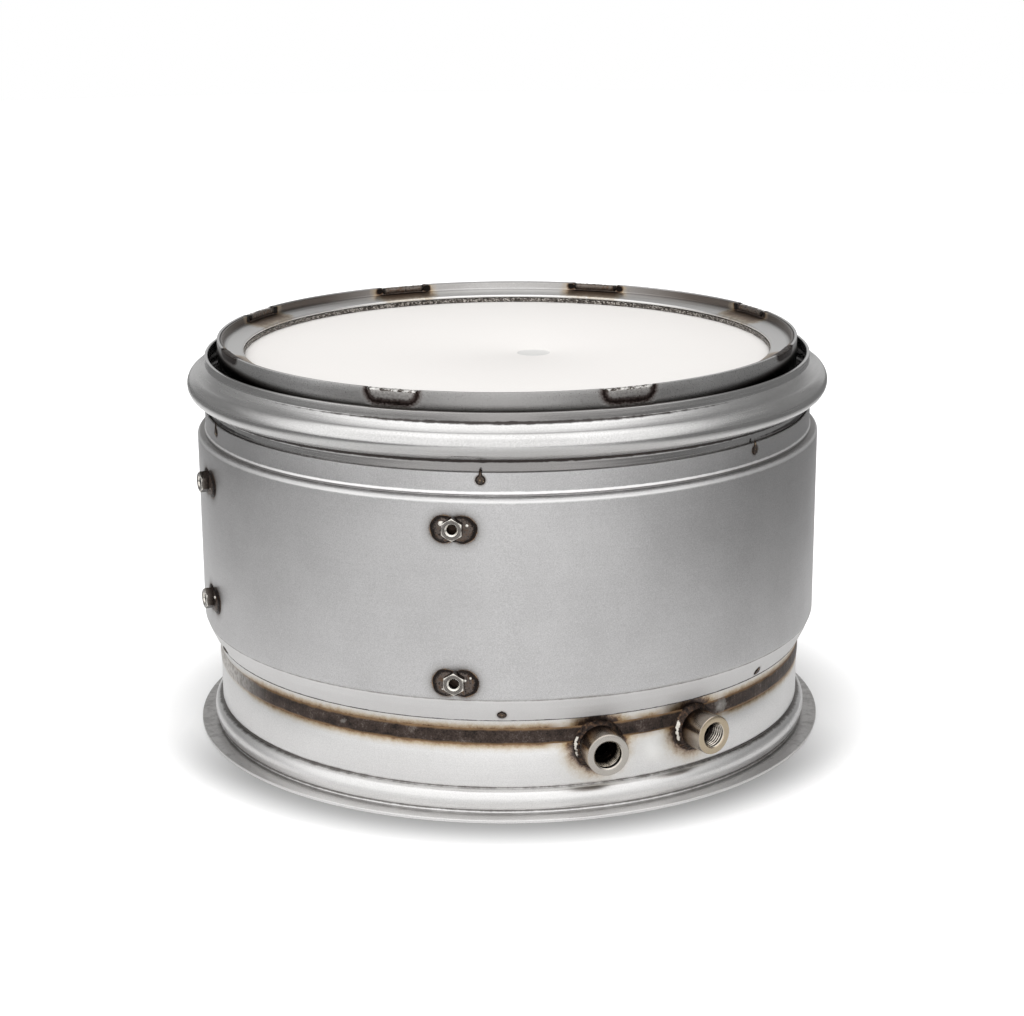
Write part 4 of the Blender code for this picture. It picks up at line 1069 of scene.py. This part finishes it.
def makeOutletEnd():
    look = outletLook
    inner = sleeveRadius - look["wall"]
    seamTop = seamHeight + look["seamHalf"]
    seamLow = seamHeight - look["seamHalf"]
    sleeve = [(sleeveRadius, sleeveTop, 0.3 * mm), (sleeveRadius, seamTop + 0.05 * mm),
              (inner, seamHeight + look["root"] + look["bevel"]), (inner, sleeveTop, 0.3 * mm)]
    settle(turned("outletSleeve", sleeve, "outlet", 384), "collar_steel", "outlet_sleeve")

    crown = sleeveRadius + look["crown"]
    seam = [(sleeveRadius, seamTop), (sleeveRadius + 0.7 * look["crown"], seamTop - 1.0 * mm, 1.5 * mm),
            (crown, seamHeight + 1.2 * mm, 3 * mm), (crown, seamHeight - 1.2 * mm, 3 * mm),
            (sleeveRadius + 0.7 * look["crown"], seamLow + 1.0 * mm, 1.5 * mm), (sleeveRadius, seamLow),
            (inner, seamHeight - look["root"]), (inner, seamHeight + look["root"])]
    weld = turned("outletSeamWeld", seam, "seam", 1024)
    boreAtBungs(weld)
    settle(weld, "weld_metal", "outlet_seam_weld")

    bead = (sleeveRadius + look["beadOut"], look["beadHeight"])
    top = look["beadHeight"] + look["beadHalf"]
    outline = [(sleeveRadius, seamLow - 0.05 * mm), (sleeveRadius, top + 1.9 * mm, 0.6 * mm),
               (sleeveRadius - 0.45 * mm, top + 0.9 * mm, 0.4 * mm),
               (sleeveRadius - 0.3 * mm, top + 0.2 * mm, 0.2 * mm)]
    outline += ovalArc(bead, look["beadReach"], look["beadHalf"], 76, -62)
    outline += [(bead[0] + 2.2 * mm, look["flange"] + 0.05 * mm, 0.4 * mm),
                (bead[0] + 2.9 * mm, look["flange"], 0.2 * mm), (flangeRadius, look["flange"], 0.4 * mm),
                (flangeRadius, 0.0, 0.4 * mm), (inner, 0.0, 0.6 * mm), (inner, 2.6 * mm, 1.0 * mm)]
    outline += ovalArc(bead, look["beadReach"] - look["wall"], look["beadHalf"] - look["wall"], -42, 42, 12)
    outline += [(inner, top + 1.2 * mm, 1.0 * mm), (inner, seamHeight - look["root"] - look["bevel"])]
    collar = turned("outletCollar", outline, "outlet", 512)
    boreAtBungs(collar)
    settle(collar, "collar_steel", "outlet_collar")


# Pieces woven from rows of points, with marks that the trees and the finishes read.

def loop(steps, reach, height, centre=(0.0, 0.0)):
    turns = [math.tau * j / steps for j in range(steps)]
    return [(centre[0] + reach * math.cos(t), centre[1] + reach * math.sin(t), height) for t in turns]


def woven(name, rows, endless=False):
    # Rows are (closed loop, marks), with equal loops, and one value or one for each point in a mark.
    # Their ends are capped, or joined if endless.
    mesh = bpy.data.meshes.new(name)
    count, across = len(rows), len(rows[0][0])
    faces = []
    for i in range(count if endless else count - 1):
        low, high = i * across, (i + 1) % count * across
        faces += [(low + j, low + (j + 1) % across, high + (j + 1) % across, high + j) for j in range(across)]
    if not endless:
        faces += [tuple(range(across)), tuple(range((count - 1) * across, count * across))]
    mesh.from_pydata([tuple(point) for points, _ in rows for point in points], [], faces)
    for label in rows[0][1]:
        values = []
        for _, marks in rows:
            values += marks[label] if isinstance(marks[label], list) else [marks[label]] * across
        mesh.attributes.new(label, "FLOAT", "POINT").data.foreach_set("value", values)
    return closeMesh(newPiece(name, mesh), 180)


def joined(name, pieces):
    # One mesh of several, with their marks kept.
    with bpy.context.temp_override(active_object=pieces[0], selected_editable_objects=pieces):
        bpy.ops.object.join()
    pieces[0].name = name
    pieces[0].data.name = name
    return pieces[0]


def standOut(piece, angle, radius, height, lean=0.0):
    # Stands a piece made round its own Z axis on the can's wall: Z outward, Y up.
    turn = math.radians(angle)
    stand = Matrix.Rotation(turn, 4, "Z") @ Matrix.Rotation(math.radians(90 + lean), 4, "X")
    piece.data.transform(Matrix.Translation(around(angle, radius, height)) @ stand)
    return piece


def ripple(piece, finish, pitch, depth, lump, lumpDepth, seed, bow=0.5, bend=50):
    runTree(piece, trees["ripples"], {"Pitch": pitch, "Bow": bow, "Scale depth": depth, "Lump size": lump,
                                      "Lump depth": lumpDepth, "Seed": seed, "Finish": finishes[finish]})
    return closeMesh(piece, bend)


# Stitch welds over the melted rims, hanging inside the ring's leg.

stitchLook = {
    "half": 14.25 * mm, "stations": 72, "taper": 1.6 * mm,
    # Section as (radius inside the can's wall, depth under the rim, how far the lumps may lift it), in mm.
    "section": ((0.1, 1.6, 0), (-0.10, 1.1, 0.5), (0.02, 0.72, 1), (0.5, 0.50, 1), (1.3, 0.42, 1),
                (2.2, 0.46, 1), (3.0, 0.60, 1), (3.6, 0.95, 1), (3.85, 1.4, 1), (3.9, 2.0, 1), (3.75, 2.7, 1),
                (3.5, 3.3, 0.8), (3.2, 3.7, 0.4), (2.95, 3.9, 0), (2.95, 3.2, 0), (2.95, 1.45, 0),
                (1.5, 1.42, 0)),
    # The corner, in the same mm, that the section shrinks to at a run's ends.
    "middle": 1.5, "back": 2.95, "seat": 1.42,
    "pitch": 2.3 * mm, "scale": 0.22 * mm, "lump": 2.6 * mm, "lumpDepth": 0.55 * mm,
}


def makeStitches(end, top):
    look = stitchLook
    beads = []
    for angle in stitchAngles:
        rows = []
        # The stitches at the two sides stayed black all over.
        black = abs(abs(angle) - 67.5) < 1
        for i in range(look["stations"] + 1):
            place = (2 * i / look["stations"] - 1) * look["half"]
            fade = min(1.0, (look["half"] - abs(place)) / look["taper"] + 0.12) ** 0.5
            turn = angle + math.degrees(place / canRadius)
            row = []
            for inset, depth, _ in look["section"]:
                pivot = look["middle"] if inset < look["back"] else look["back"]
                inset = (pivot + (inset - pivot) * fade) * mm
                depth = (look["seat"] + (depth - look["seat"]) * fade) * mm
                row.append(around(turn, canRadius - inset, rimTop - depth if top else canBottom + depth))
            count = len(row)
            rows.append((row, {"along": place,
                               "across": 2.21 if black else [2 * j / (count - 4) - 1 for j in range(count)],
                               "lift": [fade * part[2] for part in look["section"]],
                               "bare": [0.52 if j < 6 and not black else 0.0 for j in range(count)]}))
        beads.append(woven(f"stitch{angle}", rows))
    run = joined(f"{end}Stitches", beads)
    ripple(run, "stitch", look["pitch"], look["scale"], look["lump"], look["lumpDepth"], 3.0 if top else 7.0)
    settle(run, "weld_metal", *(f"{end}_stitch_weld_{n}" for n in range(1, 9)))


# Tack welds: low drops with a pointed tail that bridges to the collar.

tackLook = {"radius": 2.5 * mm, "height": 0.7 * mm, "tail": 3.2 * mm, "coneTail": 0.4 * mm, "sag": 1.0 * mm,
            "rings": 8, "steps": 72}


def tackDrop(name, tail):
    look = tackLook
    rows = []
    sections = [(0.02 + 0.98 * i / look["rings"], 1.0) for i in range(look["rings"] + 1)] + [(1.0, 0.0), (0.02, 0.0)]
    for share, up in sections:
        row = []
        for j in range(look["steps"]):
            turn = math.tau * j / look["steps"]
            tip = max(0.0, math.sin(turn)) ** 40 * tail
            reach = share * (look["radius"] + tip)
            bulge = (1 - share ** 3) * 0.75 + 0.25 * math.sin(math.pi * share) if up else 0.0
            row.append((reach * math.cos(turn), reach * math.sin(turn),
                        look["height"] * bulge - 0.12 * mm * (1 - up)))
        rows.append((row, {"along": 0.0, "across": share, "lift": up * (1 - share ** 6)}))
    return woven(name, rows)


def makeTacks():
    look = tackLook
    lean = math.atan2(coneBend[0] - coneFoot, coneBend[1] - shellBottom)
    rise = nodeCentre("bottom_tack_weld_3").z - shellBottom
    neckPlace = (neckRadius, nodeCentre("top_tack_weld_3").z - look["sag"])
    conePlace = (coneFoot + math.tan(lean) * rise, shellBottom + rise)
    for end, angles, place, tilt, tail in (
            ("top", topTackAngles, neckPlace, 0.0, look["tail"]),
            ("bottom", bottomTackAngles, conePlace, math.degrees(lean), look["coneTail"])):
        run = joined(f"{end}Tacks", [standOut(tackDrop(f"{end}Drop", tail), angle, *place, tilt) for angle in angles])
        ripple(run, "tack", 1.0 * mm, 0.0, 1.1 * mm, 0.35 * mm, 2.0)
        settle(run, "weld_metal", *(f"{end}_tack_weld_{n}" for n in range(1, 7)))


# Weld nuts, stamped from one, and the puddles that hold them.

nutLook = {"flats": 10.0 * mm, "height": 5.3 * mm, "crown": 0.965, "minor": 2.45 * mm, "thread": 0.55 * mm,
           "pitch": 1.0 * mm, "mouth": 3.25 * mm, "land": 3.7 * mm, "steps": 72, "seat": 0.3 * mm}


def makeNuts():
    look = nutLook
    half = 0.5 * look["flats"]
    crown = look["crown"] * half
    rows = []

    def hexReach(turn):
        return half / math.cos((turn + math.pi / 6) % (math.pi / 3) - math.pi / 6)

    def addRow(reach, height, thread=0.0, ease=0.0, worn=0.0):
        row = []
        for j in range(look["steps"]):
            turn = math.tau * j / look["steps"]
            out = hexReach(turn) if reach is None else reach
            drop = (out - crown) * math.tan(math.radians(30)) if reach is None else 0.0
            row.append((out * math.cos(turn), out * math.sin(turn), height - ease * drop))
        rows.append((row, {"thread": thread, "out": height, "worn": worn}))

    # Where a row's wear mark is above nought its edge is worn and painted bright; below nought the bore is painted in
    # shade.
    addRow(None, 0.0)
    addRow(None, 0.5 * look["height"])
    addRow(None, look["height"] - 0.45 * mm, ease=1.0)
    addRow(None, look["height"] - 0.05 * mm, ease=1.0, worn=1.0)
    addRow(crown, look["height"], worn=0.6)
    addRow(crown - 0.3 * mm, look["height"])
    addRow(look["land"], look["height"])
    addRow(look["land"] - 0.15 * mm, look["height"] - 0.22 * mm)
    addRow(look["mouth"], look["height"] - 0.25 * mm, worn=1.0)
    addRow(look["minor"] + 0.1 * mm, look["height"] - 0.9 * mm, worn=0.9)
    turns = (look["height"] - 1.5 * mm) / look["pitch"]
    count = round(8 * turns)
    for i in range(count + 1):
        addRow(look["minor"], look["height"] - 1.0 * mm - i * look["pitch"] / 8,
               look["thread"] * min(1.0, i / 3, (count - i) / 3),
               worn=-min(1.0, i / 8))
    addRow(look["minor"], 0.0, worn=-1.0)
    nut = woven("nut", rows, True)
    runTree(nut, trees["threads"], {"Pitch": look["pitch"], "Finish": finishes["nut"]})
    closeMesh(nut, 28)

    marksMesh = bpy.data.meshes.new("nutPlaces")
    seat = bodyRadius + look["seat"]
    marksMesh.from_pydata([tuple(around(a, seat, h)) for a, h in zip(nutAngles, nutHeights)], [], [])
    turnMark = marksMesh.attributes.new("turn", "FLOAT_VECTOR", "POINT")
    for mark, angle in zip(turnMark.data, nutAngles):
        stand = Matrix.Rotation(math.radians(angle), 3, "Z") @ Matrix.Rotation(math.radians(90), 3, "X")
        mark.vector = stand.to_euler()
    nuts = newPiece("weldNuts", marksMesh)
    runTree(nuts, trees["stamp"], {"Piece": nut, "Finish": finishes["nut"]})
    closeMesh(nuts, 28)
    bpy.data.objects.remove(nut)
    settle(nuts, "turned_steel", *(f"weld_nut_{n}" for n in range(1, 5)))


def wrapOnWall(piece, angle, radius, height, sink=0.0):
    # Bends a flat piece, x round the wall and y up, on to a round wall.
    for corner in piece.data.vertices:
        x, y, z = corner.co
        corner.co = around(angle + math.degrees(x / radius), radius + z - sink, height + y)
    return piece


def makePuddles():
    look = puddleLook
    for number, (angle, height, drops) in enumerate(zip(nutAngles, nutHeights, look["drops"]), start=1):
        rows = []
        sections = [(0.02 + 0.98 * i / look["rings"], 1.0) for i in range(look["rings"] + 1)]
        for share, up in sections + [(1.0, 0.0), (0.02, 0.0)]:
            row = []
            for j in range(look["steps"]):
                turn = math.tau * j / look["steps"]
                c, s = abs(math.cos(turn)), abs(math.sin(turn))
                lobe = look["offset"] * c + math.sqrt(max(0.0, look["lobe"] ** 2 - (look["offset"] * s) ** 2))
                wave = 1 + 0.018 * math.sin(5 * turn + number) + 0.012 * math.sin(11 * turn)
                edge = max(lobe, look["waist"]) * wave
                swell = (1 - share ** 2.6) ** 0.8 * up
                row.append((share * edge * math.cos(turn), share * edge * math.sin(turn),
                            look["height"] * swell - 0.2 * mm * (1 - up)))
            # Painted shade: black under the nut, where its bore would show it.
            rows.append((row, {"along": 0.0, "across": 1.0 if share < 0.4 else share,
                               "lift": up * min(1.0, 4 * (1 - share)), "bare": 0.0}))
        pieces = [woven(f"pool{number}", rows)]
        for along, upward, radius in drops:
            shape = bmesh.new()
            bmesh.ops.create_uvsphere(shape, u_segments=20, v_segments=12, radius=radius * mm)
            bmesh.ops.scale(shape, verts=shape.verts[:], vec=(1.15, 0.95, 0.8))
            bmesh.ops.translate(shape, verts=shape.verts[:], vec=(along * mm, upward * mm, look["height"] * 0.55))
            drop = pieceOf("drop", shape)
            for label, value in (("along", 0.0), ("across", 0.3), ("lift", 0.15), ("bare", 1.0)):
                mark = drop.data.attributes.new(label, "FLOAT", "POINT")
                mark.data.foreach_set("value", [value] * len(drop.data.vertices))
            pieces.append(drop)
        puddle = joined(f"nutPuddle{number}", pieces)
        wrapOnWall(puddle, angle, bodyRadius, height - look["sag"])
        ripple(puddle, "puddle", 2.0 * mm, 0.0, look["lump"], look["lumpDepth"], float(number))
        settle(puddle, "weld_metal", f"nut_weld_{number}")


# Sensor bungs, turned with a threaded bore, and their fillet welds.

def makeBung(name):
    look, own = bungLook, bungLook[name]
    length, soft = look["length"], look["chamfer"]
    floor = length - own["depth"]
    rows = []

    def addRow(reach, height, thread=0.0):
        # The zone is 1 in the bore, 0.5 on the face and 0 on the side.
        zone = 1.0 if reach < own["bore"] + 0.03 * mm else 0.5 if height > length - 0.6 * soft else 0.0
        rows.append((loop(look["steps"], reach, height), {"thread": thread, "out": height, "zone": zone}))

    for reach, height in ((own["hole"], -2.0 * mm), (own["radius"] - 0.3 * mm, -2.0 * mm),
                          (own["radius"], -1.7 * mm), (own["radius"], length - soft),
                          (own["radius"] - 0.5 * soft, length - 0.3 * soft), (own["radius"] - 1.4 * soft, length),
                          (own["bore"] + own["mouth"], length), (own["bore"] + 0.02 * mm, length - own["mouth"]),
                          (own["bore"], length - own["mouth"] - own["relief"])):
        addRow(reach, height)
    start = length - own["mouth"] - own["relief"] - 0.1 * mm
    count = int((start - floor - 1.2 * mm) / (look["pitch"] / 10))
    for i in range(count + 1):
        addRow(own["bore"], start - i * look["pitch"] / 10, own["thread"] * min(1.0, i / 5, (count - i) / 5))
    addRow(own["bore"], floor + 0.5 * mm)
    addRow(own["bore"] - 0.5 * mm, floor)
    addRow(own["hole"] + 0.3 * mm, floor)
    addRow(own["hole"], floor - 0.3 * mm)
    bung = woven(f"{name}Bung", rows, True)
    runTree(bung, trees["threads"], {"Pitch": look["pitch"], "Finish": finishes["bung"]})
    closeMesh(bung, 28)
    standOut(bung, bungAngles[name], sleeveRadius + look["seat"], bungHeight)
    settle(bung, "turned_steel", f"{name}_sensor_bung")


filletLook = {"leg": 2.5 * mm, "stations": 220, "pitch": 1.9 * mm, "scale": 0.28 * mm, "lump": 2.0 * mm,
              "lumpDepth": 0.55 * mm}


def makeFillet(name):
    # A bead from the bung's side down to the collar's round wall.
    look, own = filletLook, bungLook[name]
    seat = sleeveRadius + bungLook["seat"]
    leg = look["leg"]
    rows = []

    def wallUnder(reach, c):
        # How high the round wall lies, from the bung's seat, under a point beside the bung's axis.
        return -bungLook["seat"] - (seat - bungLook["seat"] - math.sqrt(sleeveRadius ** 2 - (reach * c) ** 2))

    for i in range(look["stations"]):
        turn = math.tau * i / look["stations"]
        c, s = math.cos(turn), math.sin(turn)
        wide = leg * (1 + 0.10 * math.sin(3 * turn + 1.0) + 0.06 * math.sin(7 * turn))
        tall = leg * (1 + 0.08 * math.sin(4 * turn))
        row = []
        for k in range(9):
            part = 0.5 * math.pi * k / 8
            reach = own["radius"] + wide * math.sin(part) * (0.82 + 0.18 * math.sin(part))
            base = wallUnder(reach, c)
            height = base + (tall - base) * (1 - math.sin(part)) * 0.9 + 0.06 * leg * math.sin(2 * part)
            row.append((reach * c, reach * s, height))
        foot = own["radius"] + 0.5 * wide
        row.append((foot * c, foot * s, wallUnder(foot, c) - 0.25 * mm))
        inner = own["radius"] - 0.15 * mm
        row.append((inner * c, inner * s, wallUnder(inner, c) - 0.25 * mm))
        row.append((inner * c, inner * s, 0.9 * tall))
        # The bead is bare at its left end.
        left = min(1.0, max(0.0, (-c - 0.80) / 0.12))
        rows.append((row, {"along": own["radius"] * turn, "across": [k / 4 - 1 for k in range(9)] + [1.0, 1.0, -1.0],
                           "lift": [0.3, 1, 1, 1, 1, 1, 0.8, 0.5, 0.0, 0.0, 0.0, 0.0],
                           "bare": [0.72 * left * max(0.0, 1 - abs(k - 3.5) / 4) for k in range(9)] + [0.0] * 3}))
    weld = woven(f"{name}BungFillet", rows, True)
    ripple(weld, "fillet", look["pitch"], look["scale"], look["lump"], look["lumpDepth"], 5.0, bow=0.8)
    standOut(weld, bungAngles[name], seat, bungHeight)
    settle(weld, "weld_metal", f"{name}_bung_weld")


# Filter brick.

def makeBrick():
    # The inlet face is a disc of rings round the dimple, so that its edge stays round.
    look = brickShape
    shape = bmesh.new()
    steps = 192
    loops = [loop(steps, share * look["dimple"], brickTop - depth * look["dimpleDepth"], look["dimplePlace"])
             for share, depth in ((0.86, 1.0), (0.93, 0.75), (0.98, 0.2), (1.02, 0.0))]
    for radius, height in ((0.5 * brickRadius, brickTop), (brickRadius - look["round"], brickTop),
                           (brickRadius - 0.3 * look["round"], brickTop - 0.3 * look["round"]),
                           (brickRadius, brickTop - look["round"]), (brickRadius, brickBottom + look["round"]),
                           (brickRadius - look["round"], brickBottom)):
        loops.append(loop(steps, radius, height))
    rings = [[shape.verts.new(point) for point in points] for points in loops]
    for low, high in zip(rings, rings[1:]):
        for i in range(steps):
            j = (i + 1) % steps
            shape.faces.new((low[i], high[i], high[j], low[j]))
    shape.faces.new(rings[0])
    shape.faces.new(rings[-1])
    brick = closeMesh(pieceOf("filterBrick", shape), 30)
    brick.data.materials.append(finishes["brick"])
    settle(brick, "filter_ceramic", "filter_substrate")


makeInnerCan()
for end, top in (("inlet", True), ("outlet", False)):
    makeEndRing(end, top)
makeInletCollar()
makeHeatShell()
makeOutletEnd()
print("can, rings, collars and shell made")
makeBrick()
for end, top in (("inlet", True), ("outlet", False)):
    makeStitches(end, top)
makeTacks()
makeNuts()
makePuddles()
for name in bungAngles:
    makeBung(name)
    makeFillet(name)
# The spacer ring gets the near-black wire, a painted shadow.
for name, finish in (("support_mat", "mat"), ("insulation_blanket", "blanket"), ("inlet_spacer_ring", "paintedShadow"),
                     ("outlet_support_ring", "collar")):
    dressNode(name, finish)
print("filter, welds, nuts and bungs made")


# Camera, floor and studio.

cameraLook = {"lens": 78.43, "place": (2.2 * mm, -1.2130, 0.4530), "pitch": 15.53, "roll": -0.345}


def makeCamera():
    look = cameraLook
    camera = bpy.data.objects.new("camera", bpy.data.cameras.new("camera"))
    bpy.context.scene.collection.objects.link(camera)
    camera.data.lens = look["lens"]
    camera.data.sensor_width = 36
    camera.data.clip_start = 0.05
    pitch = Matrix.Rotation(math.radians(90 - look["pitch"]), 4, "X")
    roll = Matrix.Rotation(math.radians(look["roll"]), 4, "Z")
    camera.matrix_world = Matrix.Translation(look["place"]) @ pitch @ roll
    bpy.context.scene.camera = camera


studio = {
    "floorSize": 8.0, "paper": "#F6F6F6", "cameraLift": 0.45, "liftEdge": (0.172, 0.222),
    # The paper falls off to both sides, as the steel mirrors it.
    "leftEdge": (-0.36, -0.66), "rightEdge": (0.26, 0.54), "sideShade": 0.22,
    "contactEdge": (0.176, 0.216), "contactLevel": 0.4,
    # The sky: a broad soft light over the front, more to the left, and dim elsewhere.
    "lightWay": (-0.20, -0.98, 0.75), "lightEdge": (0.0, 0.72), "dim": 0.28, "bright": 1.3,
    "zenithEdge": (0.72, 0.95), "zenith": 0.35, "sheetEdge": (0.72, 0.92), "sheetLevel": 0.6,
}


def makeFloor():
    look = studio
    shape = bmesh.new()
    bmesh.ops.create_circle(shape, cap_ends=True, segments=96, radius=0.5 * look["floorSize"])
    floor = pieceOf("floor", shape)
    material, tree, ring = newFinish("paperFloor")
    light = None
    for near, far in (look["leftEdge"], look["rightEdge"]):
        fade = addNode(tree, "ShaderNodeMapRange", {"Value": ring["side"], "From Min": near, "From Max": far,
                                                    "To Min": 1.0, "To Max": look["sideShade"]},
                       interpolation_type="SMOOTHSTEP").outputs[0]
        light = fade if light is None else addNode(tree, "ShaderNodeMath", [light, fade],
                                                   operation="MULTIPLY").outputs[0]
    # The camera sees the paper shaded close in front of the flange.
    contact = addNode(tree, "ShaderNodeMapRange", {"Value": ring["radius"], "From Min": look["contactEdge"][0],
                                                   "From Max": look["contactEdge"][1], "To Min": 1.0, "To Max": 0.0},
                      interpolation_type="SMOOTHSTEP")
    front = addNode(tree, "ShaderNodeMath", [ring["front"], 1 / look["contactEdge"][0]], operation="MULTIPLY")
    front = addNode(tree, "ShaderNodeMapRange", {"Value": front, "From Min": 0.1, "From Max": 0.7},
                    interpolation_type="SMOOTHSTEP")
    contact = addNode(tree, "ShaderNodeMath", [contact, front], operation="MULTIPLY")
    tone = addNode(tree, "ShaderNodeMath", [contact, look["contactLevel"] - 1, 1.0],
                   operation="MULTIPLY_ADD").outputs[0]
    shaded = addNode(tree, "ShaderNodeVectorMath", {0: linear(look["paper"])[:3], 3: light}, operation="SCALE")
    ray = addNode(tree, "ShaderNodeLightPath").outputs
    seen = addNode(tree, "ShaderNodeMath", [ray["Is Camera Ray"], ray["Is Transmission Ray"]], operation="MAXIMUM")
    mirrored = addNode(tree, "ShaderNodeBsdfDiffuse", [shaded])
    toned = addNode(tree, "ShaderNodeVectorMath", {0: linear(look["paper"])[:3], 3: tone}, operation="SCALE")
    paper = addNode(tree, "ShaderNodeBsdfDiffuse", [toned])
    clear = addNode(tree, "ShaderNodeMapRange", {"Value": ring["radius"], "From Min": look["liftEdge"][0],
                                                 "From Max": look["liftEdge"][1], "To Min": 0.0,
                                                 "To Max": look["cameraLift"]})
    lift = addNode(tree, "ShaderNodeEmission", [(1.0, 1.0, 1.0, 1.0), clear])
    white = addNode(tree, "ShaderNodeAddShader", [paper, lift])
    mixed = addNode(tree, "ShaderNodeMixShader", [seen, mirrored, white])
    addNode(tree, "ShaderNodeOutputMaterial", [mixed])
    material.cycles.emission_sampling = "NONE"
    floor.data.materials.append(material)


def makeSky():
    look = studio
    world = bpy.data.worlds.new("studioSky")
    bpy.context.scene.world = world
    world.use_nodes = True
    tree = world.node_tree
    tree.nodes.clear()
    way = addNode(tree, "ShaderNodeTexCoord").outputs["Generated"]
    axes = addNode(tree, "ShaderNodeSeparateXYZ", [way]).outputs
    key = addNode(tree, "ShaderNodeVectorMath", [way, look["lightWay"]], operation="DOT_PRODUCT").outputs["Value"]
    level, top, sheet = (
        addNode(tree, "ShaderNodeMapRange", {"Value": field, "From Min": start, "From Max": end, "To Min": low,
                                             "To Max": high}, interpolation_type="SMOOTHSTEP")
        for field, (start, end), low, high in ((key, look["lightEdge"], look["dim"], look["bright"]),
                                               (axes["Z"], look["zenithEdge"], 0.0, look["zenith"]),
                                               (axes["Y"], look["sheetEdge"], 0.0, look["sheetLevel"])))
    level = addNode(tree, "ShaderNodeMath", [level, top], operation="ADD")
    level = addNode(tree, "ShaderNodeMath", [level, sheet], operation="MAXIMUM")
    ray = addNode(tree, "ShaderNodeLightPath").outputs
    seen = addNode(tree, "ShaderNodeMath", [ray["Is Camera Ray"], ray["Is Transmission Ray"]], operation="MAXIMUM")
    shown = addNode(tree, "ShaderNodeMix", {0: seen, 2: level, 3: 1.0}, data_type="FLOAT").outputs[0]
    back = addNode(tree, "ShaderNodeBackground", [(1.0, 1.0, 1.0, 1.0), shown])
    addNode(tree, "ShaderNodeOutputWorld", [back])


makeCamera()
makeFloor()
makeSky()
bpy.context.scene.view_settings.view_transform = "Standard"
print("camera and studio set")
